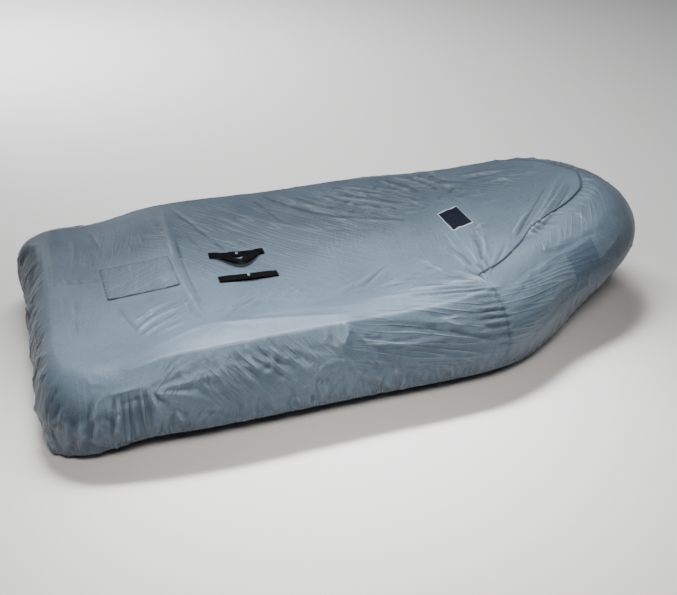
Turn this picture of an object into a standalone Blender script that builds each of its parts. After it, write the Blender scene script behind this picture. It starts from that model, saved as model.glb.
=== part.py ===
"""Fitted storage cover for a small inflatable dinghy, in the shape in which it
sits over the boat: one main panel over the deck, sides and stern, two bow panels,
a sewn-on patch, two webbing handles and a blank label.

Metres, +Z up, +X to the bow, -Y the starboard side.  The origin is just under
the middle of the top, where the boat carries the cloth."""

import math

import bmesh
import bpy
import numpy as np
from mathutils import Vector
from mathutils.bvhtree import BVHTree

# ---------------------------------------------------------------- dimensions
CLOTH = 0.0020                 # coated cloth
SEAM_GAP = 0.0007              # between panels that are sewn together
ORIGIN = np.array([1.20, 0.0, 0.364])   # from the stern and the ground

# The crown line: the closed line along the top of the boat's tubes, from the
# middle of the stern along starboard to the bow and back along port.
#   x, y     place, x from the aft end of the side tubes
#   top      height of the crown above the ground
#   reach    how far the cloth swells outboard of the crown
#   fall     from the crown down to the widest line
#   square   2 is an elliptic shoulder, more is squarer, less is flatter
#   skirt    from the widest line down to the hem
#   tuck     how far the hem is drawn back under
CROWN = np.array((
    #  x, y, top, reach, fall, square, skirt, tuck
    (-0.04, 0.00, .345, .112, .170, 1.6, .120, .030),
    (-0.04, -0.28, .345, .100, .170, 1.6, .125, .030),
    (-0.04, -0.46, .343, .094, .170, 1.6, .140, .010),
    (-0.02, -0.53, .340, .116, .180, 1.7, .138, .010),
    (0.04, -0.562, .340, .158, .185, 1.9, .100, .020),
    (0.18, -0.568, .355, .190, .190, 2.0, .060, .020),
    (0.45, -0.570, .410, .205, .206, 2.0, .092, .015),
    (1.00, -0.570, .408, .205, .205, 2.0, .096, .015),
    (1.50, -0.566, .410, .205, .205, 2.0, .108, .020),
    (1.65, -0.520, .416, .208, .205, 2.0, .125, .030),
    (1.87, -0.400, .445, .212, .205, 2.0, .130, .040),
    (2.17, -0.275, .503, .208, .195, 2.0, .092, .075),
    (2.28, -0.170, .520, .198, .180, 2.0, .045, .070),
    (2.32, 0.00, .522, .177, .170, 2.0, .045, .065),
    (2.28, 0.170, .515, .161, .175, 2.0, .060, .060),
    (2.17, 0.275, .503, .190, .195, 2.0, .110, .060),
    (1.87, 0.400, .445, .205, .205, 2.0, .100, .040),
    (1.65, 0.520, .405, .205, .205, 2.0, .090, .030),
    (1.50, 0.566, .392, .205, .205, 2.0, .085, .020),
    (1.00, 0.570, .383, .205, .205, 2.0, .080, .015),
    (0.45, 0.570, .386, .205, .205, 2.0, .085, .015),
    (0.16, 0.566, .340, .190, .190, 2.1, .100, .020),
    (0.03, 0.560, .343, .165, .190, 2.6, .115, .030),
    (-0.03, 0.525, .345, .158, .190, 2.8, .120, .030),
    (-0.04, 0.44, .346, .134, .180, 2.2, .120, .030),
    (-0.04, 0.25, .343, .118, .175, 1.7, .115, .030),
))
# The deck cloth sags between the tubes: its height on the centre line
DECK = np.array((
    # x, height
    (-0.05, .350), (0.15, .352), (0.43, .398), (0.70, .378), (1.10, .374),
    (1.55, .385), (1.87, .425), (2.17, .492), (2.33, .532),
))
# The grid's columns run from the crown in to the centre line, drawn together at the ends
SPINE = np.array((
    # x on the crown, x on the centre line
    (-0.05, 0.30), (0.45, 0.45), (2.05, 2.05), (2.33, 2.12),
))

# The seam of the two bow panels, from where it leaves the hem: how far it is
# from the nose along the crown, and its girth there
SEAM_STARBOARD = np.array(((1.03, 0.0), (0.70, -0.045), (0.48, -0.090), (0.25, -0.070), (0.0, -0.020)))
SEAM_PORT = np.array(((0.0, -0.020), (0.20, -0.020), (0.40, 0.020), (0.66, 0.070)))
SEAM_FADE = 0.40               # past the port end the grid's row comes back to the crown over this

# The starboard tube's flat top ends in a taut line, and the cloth hangs hollow below it
SHOULDER = np.array((
    # station, girth of the line, height it stands proud
    (0.16, .085, .000), (0.30, .092, .009), (0.45, .118, .015), (0.60, .120, .015), (0.90, .112, .015),
    (1.00, .110, .014), (1.10, .120, .014), (1.25, .130, .014), (1.43, .130, .010), (1.60, .130, .000),
))
SHOULDER_ABOVE = 0.090         # reach of the line's rise, above and below it
SHOULDER_BELOW = 0.055
SHOULDER_HOLLOW = 0.012        # depth of the hollow, and where its middle is below the line
HOLLOW_BELOW = 0.075
HOLLOW_WIDTH = 0.038

# Grid of the cloth: columns along each stretch of the crown, rows of the girth
CORNER = 0.12                  # the starboard stern corner reaches this far each way
STERN_COLUMNS = 9
CORNER_COLUMNS = 13
SIDE_COLUMNS = 36
BOW_COLUMNS = 20
PORT_BOW_COLUMNS = 12
PORT_SIDE_COLUMNS = 24
PORT_STERN_COLUMNS = 11
PORT_CORNER = 0.60             # length of the port half of the stern
LOW_ROWS = 9                   # from the hem up to the shoulder line
TOP_ROWS = 5                   # from there to the crown, or to the bow panels' seam
SIDE_ROWS = LOW_ROWS + TOP_ROWS
DECK_ROWS = 8
SKIRT_STEPS = 8                # points of the smooth section before it is cut into rows
SHOULDER_STEPS = 30
DECK_STEPS = 24
LINE_STEPS = 24                # points of the crown line between two rows of its table

# ---------------------------------------------------------------- folds
# Main folds of the sides: ridges, or hollows where the height is below zero.
# Each runs from one station and girth to another, bowed to one side.
SIDE_FOLDS = (
    # station, girth, to station, to girth, bow, height, width
    # the peak amidships, where something in the boat pushes out, and its hollow
    (0.955, .105, 0.920, .245, .000, .030, .030),
    (0.80, .310, 0.93, .330, .000, -.027, .045),
    (0.96, .330, 1.06, .360, .000, -.015, .040),
    (0.94, .265, 1.07, .355, .000, .011, .016),
    # slanting folds aft of the peak
    (0.57, .141, 0.82, .245, .000, -.012, .020),
    (0.67, .134, 0.85, .224, .000, .011, .020),
    (0.53, .169, 0.72, .310, .000, .014, .020),
    (0.52, .190, 0.62, .272, .000, -.011, .018),
    (0.52, .211, 0.60, .285, .000, .009, .018),
    # the ledge near the stern and the pull lines that leave its forward end
    (0.125, .142, 0.24, .166, .000, .021, .017),
    (0.13, .215, 0.23, .240, .000, -.015, .035),
    (0.24, .170, 0.41, .123, .000, .012, .018),
    (0.24, .172, 0.45, .285, .000, .010, .020),
    (0.24, .175, 0.29, .300, .000, .014, .015),
    (0.27, .205, 0.40, .235, .000, -.012, .026),
    # the rounded tab aft of the ledge, with the deep fold before it
    (0.095, .145, 0.062, .300, .000, .020, .018),
    (0.124, .165, 0.104, .340, .000, -.022, .012),
    # the bunched stern corner
    (-0.02, .180, 0.06, .220, .000, -.012, .018),
    (0.030, .225, 0.035, .370, .000, .020, .014),
    (0.000, .230, 0.004, .370, .000, -.015, .012),
    (-0.035, .210, -0.030, .370, .000, .018, .014),
    (-0.070, .200, -0.060, .360, .000, -.012, .014),
    (-0.014, .075, -0.055, .230, .000, .009, .014),
    # hanging folds of the stern
    (-0.17, .050, -0.15, .330, .000, .011, .024),
    (-0.27, .020, -0.25, .320, .000, -.012, .026),
    (-0.38, .060, -0.36, .320, .000, .012, .028),
    (-0.50, .040, -0.52, .300, .000, -.011, .028),
    (5.62, .030, 5.60, .310, .000, .012, .030),
    (5.50, .030, 5.50, .310, .000, -.012, .028),
    (5.38, .040, 5.36, .300, .000, .010, .026),
    (5.25, .080, 5.22, .300, .000, -.009, .026),
    # slack drawn towards the starboard seam
    (1.08, .128, 1.53, .240, .010, -.011, .016),
    (1.15, .142, 1.52, .218, .006, .010, .015),
    (1.04, .150, 1.30, .219, .000, -.009, .017),
    (1.10, .190, 1.50, .262, .000, .008, .018),
    (1.02, .195, 1.37, .222, .016, -.009, .014),
    (1.40, .222, 1.53, .300, .000, -.008, .018),
    (1.095, .285, 1.10, .360, .000, .009, .014),
    # port side
    (4.95, .110, 4.60, .300, .000, .012, .026),
    (4.70, .120, 4.45, .290, .000, -.011, .026),
    (4.40, .100, 4.20, .300, .020, .015, .028),
    (4.05, .130, 3.75, .290, .000, -.011, .028),
    (3.85, .110, 3.50, .260, .000, .010, .026),
    (4.30, .330, 4.00, .340, .000, -.012, .030),
    # bow panels
    (1.57, .144, 2.08, .141, .000, .010, .022),
    (1.60, .190, 2.10, .185, .000, -.008, .022),
    (1.63, .232, 1.97, .250, .000, .008, .018),
    (1.58, .296, 2.25, .262, .000, .008, .018),
    (2.36, .060, 2.52, .200, .000, .008, .024),
    (2.72, .060, 2.90, .220, .000, .009, .026),
)
DECK_FOLDS = (
    # x, y, to x, to y, bow, height, width
    # over the transom
    (0.475, 0.54, 0.457, -0.50, .000, .009, .030),
    # slanting drag lines across the middle
    (0.52, 0.50, 0.68, 0.05, .000, -.005, .028),
    (0.96, 0.52, 1.30, 0.15, .050, -.009, .034),
    (0.91, 0.46, 1.21, 0.08, .040, .006, .034),
    (1.19, 0.24, 1.55, 0.05, .020, -.006, .034),
    (1.56, 0.50, 1.64, 0.17, .000, -.008, .034),
    (1.71, 0.43, 1.80, 0.28, .000, .006, .034),
    (1.08, -0.44, 1.26, -0.32, .000, .004, .034),
    (0.70, -0.47, 1.50, -0.47, .010, .004, .030),
    # pleats along the bow seam
    (1.84, -0.36, 2.24, 0.02, .000, .012, .026),
    (1.95, 0.28, 2.22, 0.10, .000, .008, .030),
)

DECK_FOLD_FADE = 0.04          # the deck's folds fade in over this much girth inside the crown
END_TAPER = 0.25               # share of a fold's height that is left at its ends

# ---------------------------------------------------------------- sewn-on pieces
# Corners in plan, in order round the piece
PATCH_CORNERS = ((0.155, 0.095), (0.165, -0.175), (0.438, -0.235), (0.430, 0.030))
LABEL_CORNERS = ((1.742, 0.080), (1.637, 0.055), (1.629, -0.134), (1.734, -0.112))
PATCH_THICK = 0.0012
LABEL_THICK = 0.0010
PATCH_STEPS = (7, 7)           # grid of each piece, along and up
LABEL_STEPS = (4, 5)
SEWN_GAP = 0.0006              # under a sewn-on piece

# The two webbing handles: where they are sewn down, and how the grip lies
WEBBING = 0.050
WEBBING_THICK = 0.0022
LAYER = WEBBING_THICK + SEWN_GAP
HANDLES = (
    # name, aft x, aft y, fore x, fore y, grip aside, grip rise
    ("port", 0.592, 0.002, 0.820, -0.010, -0.072, 0.020),
    ("starboard", 0.588, -0.226, 0.822, -0.234, -0.008, 0.004),
)
BASE_JOINT = 0.53              # share of the handle's length where the two base pieces meet
BASE_OVERLAP = 0.12
BASE_STEP = 0.07               # the aft piece climbs onto the fore one this far ahead of it
BASE_STEPS = (6, 8)            # columns of the fore and aft pieces, then of the grip
GRIP_STEPS = 16
WEBBING_ACROSS = 4             # points across the webbing
GRIP_CLIMB = 6.0               # how soon the grip climbs onto the base pieces
KEEPER_SIZE = (0.009, 0.020, 0.0016)
KEEPER_AFT = 0.03              # how far aft of the joint the keeper lies, as a share of the length


def crown_line():
    """The crown table as one smooth closed line."""
    count = len(CROWN)
    line = []
    for i in range(count):
        rows = [CROWN[(i + k - 1) % count] for k in range(4)]
        knots = [0.0]
        for a, b in zip(rows, rows[1:]):
            knots.append(knots[-1] + math.sqrt(math.dist(a[:2], b[:2])))
        for t in np.linspace(knots[1], knots[2], LINE_STEPS, endpoint=False):
            level = rows
            for size in (1, 2):
                level = [blend(level[k], level[k + 1], knots[k], knots[k + size], t)
                         for k in range(len(level) - 1)]
            line.append(blend(level[0], level[1], knots[1], knots[2], t))
    line.append(line[0])
    return np.array(line)


def blend(a, b, ta, tb, t):
    share = (t - ta) / (tb - ta)
    return a + (b - a) * share


LINE = crown_line()
RUN = np.concatenate([[0.0], np.cumsum(np.linalg.norm(np.diff(LINE[:, :2], axis=0), axis=1))])
LOOP = RUN[-1]
MIDSHIP = (LINE[:, 1] < -0.5) & (abs(LINE[:, 0] - 1.0) < 0.1)
SHIFT = float(np.mean(RUN[MIDSHIP] - LINE[MIDSHIP, 0]))    # stations equal x to starboard
NOSE = float(RUN[np.argmax(LINE[:, 0])]) - SHIFT


def crown_at(station):
    """The crown's columns at a station."""
    run = (station + SHIFT) % LOOP
    return np.array([np.interp(run, RUN, column) for column in LINE.T])


def edge_of_deck(x, side):
    """Half width and height of the crown at x, on one side of the boat."""
    half = LINE[LINE[:, 1] * side >= 0]
    half = half[np.argsort(half[:, 0])]
    return np.interp(x, half[:, 0], abs(half[:, 1])), np.interp(x, half[:, 0], half[:, 2])


def deck_height(x, y, side):
    width, top = edge_of_deck(x, side)
    share = min(abs(y) / max(width, 0.02), 1.0) ** 2
    middle = np.interp(x, DECK[:, 0], DECK[:, 1])
    return middle + (top - middle) * share


def column(station):
    """One column of the smooth cover, hem to centre line: girths and places."""
    x, y, top, reach, fall, square, skirt, tuck = crown_at(station)
    along = crown_at(station + 0.01)[:2] - crown_at(station - 0.01)[:2]
    along /= np.linalg.norm(along)
    out = np.array([along[1], -along[0]])
    side = 1 if y > 0 else -1
    places = []
    for t in np.linspace(1, 0, SKIRT_STEPS + 1)[:-1]:
        place = np.array([x, y]) + out * (reach - tuck * t ** 2)
        places.append((*place, top - fall - skirt * t))
    for angle in np.radians(np.linspace(0, 90, SHOULDER_STEPS + 1)):
        place = np.array([x, y]) + out * reach * max(math.cos(angle), 0) ** (2 / square)
        places.append((*place, top - fall * (1 - math.sin(angle) ** (2 / square))))
    crown_row = len(places) - 1
    spine_x = np.interp(x, SPINE[:, 0], SPINE[:, 1])
    for t in np.linspace(0, 1, DECK_STEPS + 1)[1:]:
        px, py = x + (spine_x - x) * t, y * (1 - t)
        places.append((px, py, deck_height(px, py, side)))
    places = np.array(places)
    girth = np.concatenate([[0.0], np.cumsum(np.linalg.norm(np.diff(places, axis=0), axis=1))])
    return girth[crown_row] - girth, places


def seam_girth(station):
    """Girth of the row that carries the bow panels' seam."""
    ahead = NOSE - station
    if 0 <= ahead <= SEAM_STARBOARD[0, 0]:
        return np.interp(-ahead, -SEAM_STARBOARD[:, 0], SEAM_STARBOARD[:, 1])
    if 0 < -ahead <= SEAM_PORT[-1, 0]:
        return np.interp(-ahead, SEAM_PORT[:, 0], SEAM_PORT[:, 1])
    past = -ahead - SEAM_PORT[-1, 0]
    if 0 < past < SEAM_FADE:
        return SEAM_PORT[-1, 1] * (1 - past / SEAM_FADE)
    return 0.0


def cloth_grid(stations):
    """The smooth cover on a grid: places, stations and girths, rows by columns."""
    places, girths = [], []
    for station in stations:
        girth, line = column(station)
        seam = seam_girth(station)
        shoulder = np.interp(station, SHOULDER[:, 0], SHOULDER[:, 1])
        rows = np.concatenate([np.linspace(girth[0], shoulder, LOW_ROWS + 1),
                               np.linspace(shoulder, seam, TOP_ROWS + 1)[1:],
                               np.linspace(seam, girth[-1], DECK_ROWS + 1)[1:]])
        places.append(np.array([np.interp(-rows, -girth, axis) for axis in line.T]).T)
        girths.append(rows)
    places = np.array(places).transpose(1, 0, 2)
    girths = np.array(girths).T
    return places, np.broadcast_to(stations, girths.shape), girths


def normals_of(places):
    """Outward direction at each point of a closed grid."""
    around = np.roll(places, -1, axis=1) - np.roll(places, 1, axis=1)
    upward = np.gradient(places, axis=0)
    normal = np.cross(around, upward)
    normal[-1] = (0, 0, 1)
    return normal / np.maximum(np.linalg.norm(normal, axis=2, keepdims=True), 1e-9)


def ridge(u, v, fold):
    """Height of one fold at the points u, v: a bowed line, tapered at its ends."""
    u0, v0, u1, v1, bow, height, width = fold
    length = math.hypot(u1 - u0, v1 - v0)
    du, dv = (u1 - u0) / length, (v1 - v0) / length
    along = ((u - u0) * du + (v - v0) * dv) / length
    inside = np.clip(along, 0, 1)
    across = (v - v0) * du - (u - u0) * dv - bow * 4 * inside * (1 - inside)
    past = (along - inside) * length
    taper = END_TAPER + (1 - END_TAPER) * np.sqrt(np.clip(4 * inside * (1 - inside), 0, 1))
    return height * taper * np.exp(-(across / width) ** 2 - (past / width) ** 2)


def shoulder_lift(stations, girths):
    """Height of the taut line along the starboard tube, with the hollow below it."""
    line = np.interp(stations, SHOULDER[:, 0], SHOULDER[:, 1])
    height = np.interp(stations, SHOULDER[:, 0], SHOULDER[:, 2], left=0, right=0)
    below = girths - line
    upper = np.clip(1 + below / SHOULDER_ABOVE, 0, 1) ** 1.6
    lower = np.clip(1 - below / SHOULDER_BELOW, 0, 1) ** 1.3
    hollow = np.exp(-((below - HOLLOW_BELOW) / HOLLOW_WIDTH) ** 2) * (below > 0)
    depth = SHOULDER_HOLLOW * height / SHOULDER[:, 2].max()
    return height * np.where(below < 0, upper, lower) - depth * hollow


def folded(places, stations, girths):
    """The smooth cover with its folds raised and hollowed."""
    lift = shoulder_lift(stations, girths)
    for fold in SIDE_FOLDS:
        lift += ridge(stations, girths, fold)
    on_deck = np.clip(-girths / DECK_FOLD_FADE, 0, 1)
    for fold in DECK_FOLDS:
        lift += ridge(places[..., 0], places[..., 1], fold) * on_deck
    return places + normals_of(places) * lift[..., None]


# ---------------------------------------------------------------- making
def material(name, colour, roughness, metallic=0.0):
    finish = bpy.data.materials.new(name)
    finish.use_nodes = True
    shader = finish.node_tree.nodes["Principled BSDF"]
    shader.inputs["Base Color"].default_value = (*colour, 1.0)
    shader.inputs["Roughness"].default_value = roughness
    shader.inputs["Metallic"].default_value = metallic
    finish.diffuse_color = (*colour, 1.0)
    return finish


def add_sheet(name, places, faces, finish, collection, thickness, offset):
    """A sheet through the given points; offset -1 thickens it inward, 1 outward."""
    mesh = bpy.data.meshes.new(name)
    mesh.from_pydata([tuple(place) for place in places], [], faces)
    form = bmesh.new()
    form.from_mesh(mesh)
    bmesh.ops.remove_doubles(form, verts=form.verts, dist=1e-5)
    bmesh.ops.dissolve_degenerate(form, edges=form.edges, dist=1e-6)
    loose = [vertex for vertex in form.verts if not vertex.link_faces]
    bmesh.ops.delete(form, geom=loose, context="VERTS")
    form.to_mesh(mesh)
    form.free()
    mesh.shade_smooth()
    mesh.materials.append(finish)
    piece = bpy.data.objects.new(name, mesh)
    collection.objects.link(piece)
    solid = piece.modifiers.new("sheet", "SOLIDIFY")
    solid.thickness = thickness
    solid.offset = offset
    return piece


def grid_faces(rows, across, closed, keep=None):
    """Faces of a grid, where keep says so; a closed one joins last to first."""
    faces = []
    for j in range(rows - 1):
        for i in range(across if closed else across - 1):
            if keep is None or keep(j, i):
                k = (i + 1) % across
                faces.append((j * across + i, j * across + k,
                              (j + 1) * across + k, (j + 1) * across + i))
    return faces


def draw_back(places, rows, columns, gap):
    """Move the edge points of a panel in from its seams, towards the next point."""
    drawn = places.copy()
    top, low = rows
    first, last = columns
    for j in range(low, top + 1):
        for i, inner in ((first, first + 1), (last, last - 1)):
            step = places[j, inner] - places[j, i]
            drawn[j, i] += step / np.linalg.norm(step) * gap
    for i in range(first, last + 1):
        step = places[top - 1, i] - places[top, i]
        drawn[top, i] += step / np.linalg.norm(step) * gap
    return drawn


def make_cloth(collection, finish):
    """The main panel and the two bow panels, cut from one folded surface."""
    seam_starboard = NOSE - SEAM_STARBOARD[0, 0]
    seam_port = NOSE + SEAM_PORT[-1, 0]
    stern = -SHIFT
    end = stern + LOOP
    stretches = (
        (stern, -CORNER, STERN_COLUMNS),
        (-CORNER, CORNER + 0.02, CORNER_COLUMNS),
        (CORNER + 0.02, seam_starboard, SIDE_COLUMNS),
        (seam_starboard, NOSE, BOW_COLUMNS),
        (NOSE, seam_port, PORT_BOW_COLUMNS),
        (seam_port, end - PORT_CORNER, PORT_SIDE_COLUMNS),
        (end - PORT_CORNER, end, PORT_STERN_COLUMNS),
    )
    stations = np.concatenate([np.linspace(a, b, n, endpoint=False) for a, b, n in stretches])
    places, station_grid, girths = cloth_grid(stations)
    places = folded(places, station_grid, girths) - ORIGIN
    rows, across = girths.shape
    first = STERN_COLUMNS + CORNER_COLUMNS + SIDE_COLUMNS
    middle = first + BOW_COLUMNS
    last = middle + PORT_BOW_COLUMNS

    def of_main(j, i):
        return j >= SIDE_ROWS or not first <= i < last

    main = add_sheet("main_panel", places.reshape(-1, 3), grid_faces(rows, across, True, of_main),
                     finish, collection, CLOTH, -1.0)
    for name, start, stop in (("bow_panel_starboard", first, middle),
                              ("bow_panel_port", middle, last)):
        drawn = draw_back(places, (SIDE_ROWS, 0), (start, stop), SEAM_GAP)
        cut = drawn[:SIDE_ROWS + 1, start:stop + 1]
        add_sheet(name, cut.reshape(-1, 3), grid_faces(*cut.shape[:2], False),
                  finish, collection, CLOTH, -1.0)
    return main


def deck_under(main):
    """A function that gives the height of the main panel's face at a place."""
    bpy.context.view_layer.update()
    tree = BVHTree.FromObject(main, bpy.context.evaluated_depsgraph_get())

    def height(x, y):
        start = Vector((x - ORIGIN[0], y - ORIGIN[1], 1.0))
        return tree.ray_cast(start, Vector((0, 0, -1)))[0].z
    return height


def add_patch(name, corners, thickness, steps, finish, collection, height):
    """A flat piece sewn on the deck between four corners in plan."""
    c0, c1, c2, c3 = np.array(corners)
    places = []
    for v in np.linspace(0, 1, steps[1] + 1):
        for u in np.linspace(0, 1, steps[0] + 1):
            x, y = (c1 * (1 - u) + c2 * u) * (1 - v) + (c0 * (1 - u) + c3 * u) * v
            places.append((x - ORIGIN[0], y - ORIGIN[1], height(x, y) + SEWN_GAP))
    return add_sheet(name, places, grid_faces(steps[1] + 1, steps[0] + 1, False),
                     finish, collection, thickness, 1.0)


def add_webbing(name, line, width, thickness, finish, collection, height):
    """Webbing along a line of places in plan, each with its rise off the deck."""
    places = []
    for side in np.linspace(-0.5, 0.5, WEBBING_ACROSS):
        for k, (x, y, rise) in enumerate(line):
            before, after = line[max(k - 1, 0)], line[min(k + 1, len(line) - 1)]
            along = np.array(after[:2]) - np.array(before[:2])
            along /= np.linalg.norm(along)
            px, py = x - along[1] * side * width, y + along[0] * side * width
            places.append((px - ORIGIN[0], py - ORIGIN[1], height(px, py) + rise))
    return add_sheet(name, places, grid_faces(WEBBING_ACROSS, len(line), False),
                     finish, collection, thickness, 1.0)


def add_keeper(name, x, y, rise, finish, collection, height):
    """The small pale keeper that lies on the webbing."""
    bpy.ops.mesh.primitive_cube_add(size=1.0)
    keeper = bpy.context.object
    keeper.name = name
    keeper.data.name = name
    keeper.scale = KEEPER_SIZE
    bpy.ops.object.transform_apply(location=False, rotation=False, scale=True)
    half_x, half_y = KEEPER_SIZE[0] / 2, KEEPER_SIZE[1] / 2
    deck = max(height(x + dx, y + dy) for dx in (-half_x, half_x) for dy in (-half_y, half_y))
    lift = rise + SEWN_GAP / 2 + KEEPER_SIZE[2] / 2
    keeper.location = (x - ORIGIN[0], y - ORIGIN[1], deck + lift)
    keeper.data.materials.append(finish)
    for owner in keeper.users_collection:
        owner.objects.unlink(keeper)
    collection.objects.link(keeper)
    return keeper


def make_handle(handle, webbing, fitting, collection, height):
    """One handle: two base pieces that overlap, the grip over them, a keeper."""
    name, x0, y0, x1, y1, aside, rise = handle
    overlap_start = BASE_JOINT - BASE_OVERLAP

    def hump(t):
        return math.sin(math.pi * t) ** 2

    def strip(kind, start, stop, steps, sway, climb):
        line = []
        for t in np.linspace(start, stop, steps + 1):
            line.append((x0 + (x1 - x0) * t, y0 + (y1 - y0) * t + sway * hump(t), SEWN_GAP + climb(t)))
        add_webbing(f"webbing_{name}_{kind}", line, WEBBING, WEBBING_THICK, webbing, collection, height)

    def no_climb(t):
        return 0.0

    def onto_fore(t):
        return LAYER if t > overlap_start - BASE_STEP else 0.0

    def onto_base(t):
        return LAYER * (1 + min(1.0, GRIP_CLIMB * t * (1 - t))) + rise * hump(t)

    strip("fore", overlap_start, 1.0, BASE_STEPS[0], 0.0, no_climb)
    strip("aft", 0.0, BASE_JOINT, BASE_STEPS[1], 0.0, onto_fore)
    strip("grip", 0.0, 1.0, GRIP_STEPS, aside, onto_base)
    at = BASE_JOINT - KEEPER_AFT
    top = SEWN_GAP + LAYER * 2
    if abs(aside) < WEBBING / 2:
        top += LAYER + rise
    add_keeper(f"keeper_{name}", x0 + (x1 - x0) * at, y0 + (y1 - y0) * at, top,
               fitting, collection, height)


def main():
    for old in list(bpy.data.objects):
        bpy.data.objects.remove(old, do_unlink=True)
    cover = bpy.data.collections.new("boat_cover")
    bpy.context.scene.collection.children.link(cover)
    cloth = material("slate_coated_polyester", (0.13, 0.17, 0.22), 0.55)
    patch_cloth = material("slate_patch_cloth", (0.12, 0.155, 0.20), 0.55)
    webbing = material("black_webbing", (0.012, 0.012, 0.014), 0.7)
    label_cloth = material("navy_label", (0.012, 0.025, 0.07), 0.6)
    fitting = material("pale_plastic", (0.55, 0.56, 0.58), 0.4)

    panel = make_cloth(cover, cloth)
    height = deck_under(panel)
    add_patch("deck_patch", PATCH_CORNERS, PATCH_THICK, PATCH_STEPS, patch_cloth, cover, height)
    add_patch("blank_label", LABEL_CORNERS, LABEL_THICK, LABEL_STEPS, label_cloth, cover, height)
    for handle in HANDLES:
        make_handle(handle, webbing, fitting, cover, height)


main()
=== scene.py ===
# A fitted storage cover as it lies over a small inflatable dinghy: coated cloth with its folds,
# lapped seams, gathered elastic hem, sewn patch, blank label and two webbing handles.
# Metres, +X to the bow, -Y starboard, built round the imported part.
import math
import random

import bpy
import numpy as np
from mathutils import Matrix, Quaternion, Vector
from mathutils.bvhtree import BVHTree


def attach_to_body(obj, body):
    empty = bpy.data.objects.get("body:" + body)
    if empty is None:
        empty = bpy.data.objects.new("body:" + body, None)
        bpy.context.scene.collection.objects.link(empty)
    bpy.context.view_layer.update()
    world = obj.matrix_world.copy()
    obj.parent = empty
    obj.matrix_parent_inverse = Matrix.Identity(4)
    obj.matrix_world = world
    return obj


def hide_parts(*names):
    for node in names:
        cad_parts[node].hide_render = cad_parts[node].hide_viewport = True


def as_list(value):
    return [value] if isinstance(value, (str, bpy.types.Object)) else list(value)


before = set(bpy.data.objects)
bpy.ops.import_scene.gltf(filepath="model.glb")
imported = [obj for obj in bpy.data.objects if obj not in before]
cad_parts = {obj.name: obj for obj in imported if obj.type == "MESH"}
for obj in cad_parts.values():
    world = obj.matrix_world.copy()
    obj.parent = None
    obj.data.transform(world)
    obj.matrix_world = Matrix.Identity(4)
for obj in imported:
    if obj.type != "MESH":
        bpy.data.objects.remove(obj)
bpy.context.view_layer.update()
dice = random.Random(7)

# the surface that the cloth lies on
# crown rows: place x, y on the tubes' crown, height above the ground, swell outboard, fall to the
# widest line, squareness of the shoulder, skirt below it, and how far the hem is drawn under
cover = {
    "origin": (1.20, 0.0, 0.364),
    "crown": (
        (-.04, 0, .345, .112, .17, 1.6, .12, .03), (-.04, -.28, .345, .1, .17, 1.6, .125, .03),
        (-.04, -.46, .343, .094, .17, 1.6, .14, .01), (-.02, -.53, .34, .116, .18, 1.7, .138, .01),
        (.04, -.562, .34, .158, .185, 1.9, .1, .02), (.18, -.568, .355, .19, .19, 2, .06, .02),
        (.45, -.57, .41, .205, .206, 2, .092, .015), (1, -.57, .408, .205, .205, 2, .096, .015),
        (1.5, -.566, .41, .205, .205, 2, .108, .02), (1.65, -.52, .416, .208, .205, 2, .125, .03),
        (1.87, -.4, .445, .212, .205, 2, .13, .04), (2.17, -.275, .503, .208, .195, 2, .092, .075),
        (2.28, -.17, .52, .198, .18, 2, .045, .07), (2.32, 0, .522, .177, .17, 2, .045, .065),
        (2.28, .17, .515, .161, .175, 2, .06, .06), (2.17, .275, .503, .19, .195, 2, .11, .06),
        (1.87, .4, .445, .205, .205, 2, .1, .04), (1.65, .52, .405, .205, .205, 2, .09, .03),
        (1.5, .566, .392, .205, .205, 2, .085, .02), (1, .57, .383, .205, .205, 2, .08, .015),
        (.45, .57, .386, .205, .205, 2, .085, .015), (.16, .566, .34, .19, .19, 2.1, .1, .02),
        (.03, .56, .343, .165, .19, 2.6, .115, .03), (-.03, .525, .345, .158, .19, 2.8, .12, .03),
        (-.04, .44, .346, .134, .18, 2.2, .12, .03), (-.04, .25, .343, .118, .175, 1.7, .115, .03),
    ),
    "deck": (                     # x, height of the cloth on the centre line
        (-.05, .35), (.15, .352), (.43, .398), (.7, .378), (1.1, .374), (1.55, .385), (1.87, .425),
        (2.17, .492), (2.33, .532),
    ),
    "shoulder": (                 # station, girth and height of the taut line of the starboard tube
        (.16, .085, 0), (.3, .092, .009), (.45, .118, .015), (.6, .12, .015), (.9, .112, .015),
        (1, .11, .014), (1.1, .112, .014), (1.25, .112, .014), (1.43, .1, .012), (1.52, .085, .008),
        (1.6, .08, 0),
    ),
    # girth of the bow panels' seam by how far aft of the nose, and then by how far past it
    "seamStarboard": ((1.03, 0.0), (0.70, -0.045), (0.48, -0.090), (0.25, -0.070), (0.0, -0.020)),
    "seamPort": ((0.0, -0.020), (0.20, -0.020), (0.40, 0.020), (0.66, 0.070)),
    "seamFade": 0.4,
    "spine": ((-0.05, 0.45, 2.05, 2.33), (0.30, 0.45, 2.05, 2.12)),   # where columns end, by crown x
    "midships": 1.0, "straightReach": 0.1, "narrowest": 0.02, "probe": 0.012,
    "columns": 1010,
    "closer": 1.9,                # columns to starboard and on the bow are this much closer
    "lowRows": 44, "topRows": 22, "deckRows": 50,
    "skirtSteps": 13, "shoulderSteps": 61, "deckSteps": 41,
}
origin = np.array(cover["origin"])
crownTable = np.array(cover["crown"])
deckLine = np.array(cover["deck"]).T
seamStarboard = np.array(cover["seamStarboard"]).T
seamPort = np.array(cover["seamPort"]).T
tautStations, tautGirths, tautHeights = np.array(cover["shoulder"]).T
seamRow = cover["lowRows"] + cover["topRows"]


# length along a line at each of its points
def lengthsAlong(line):
    return np.concatenate([[0.0], np.cumsum(np.linalg.norm(np.diff(line, axis=0), axis=1))])


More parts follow.
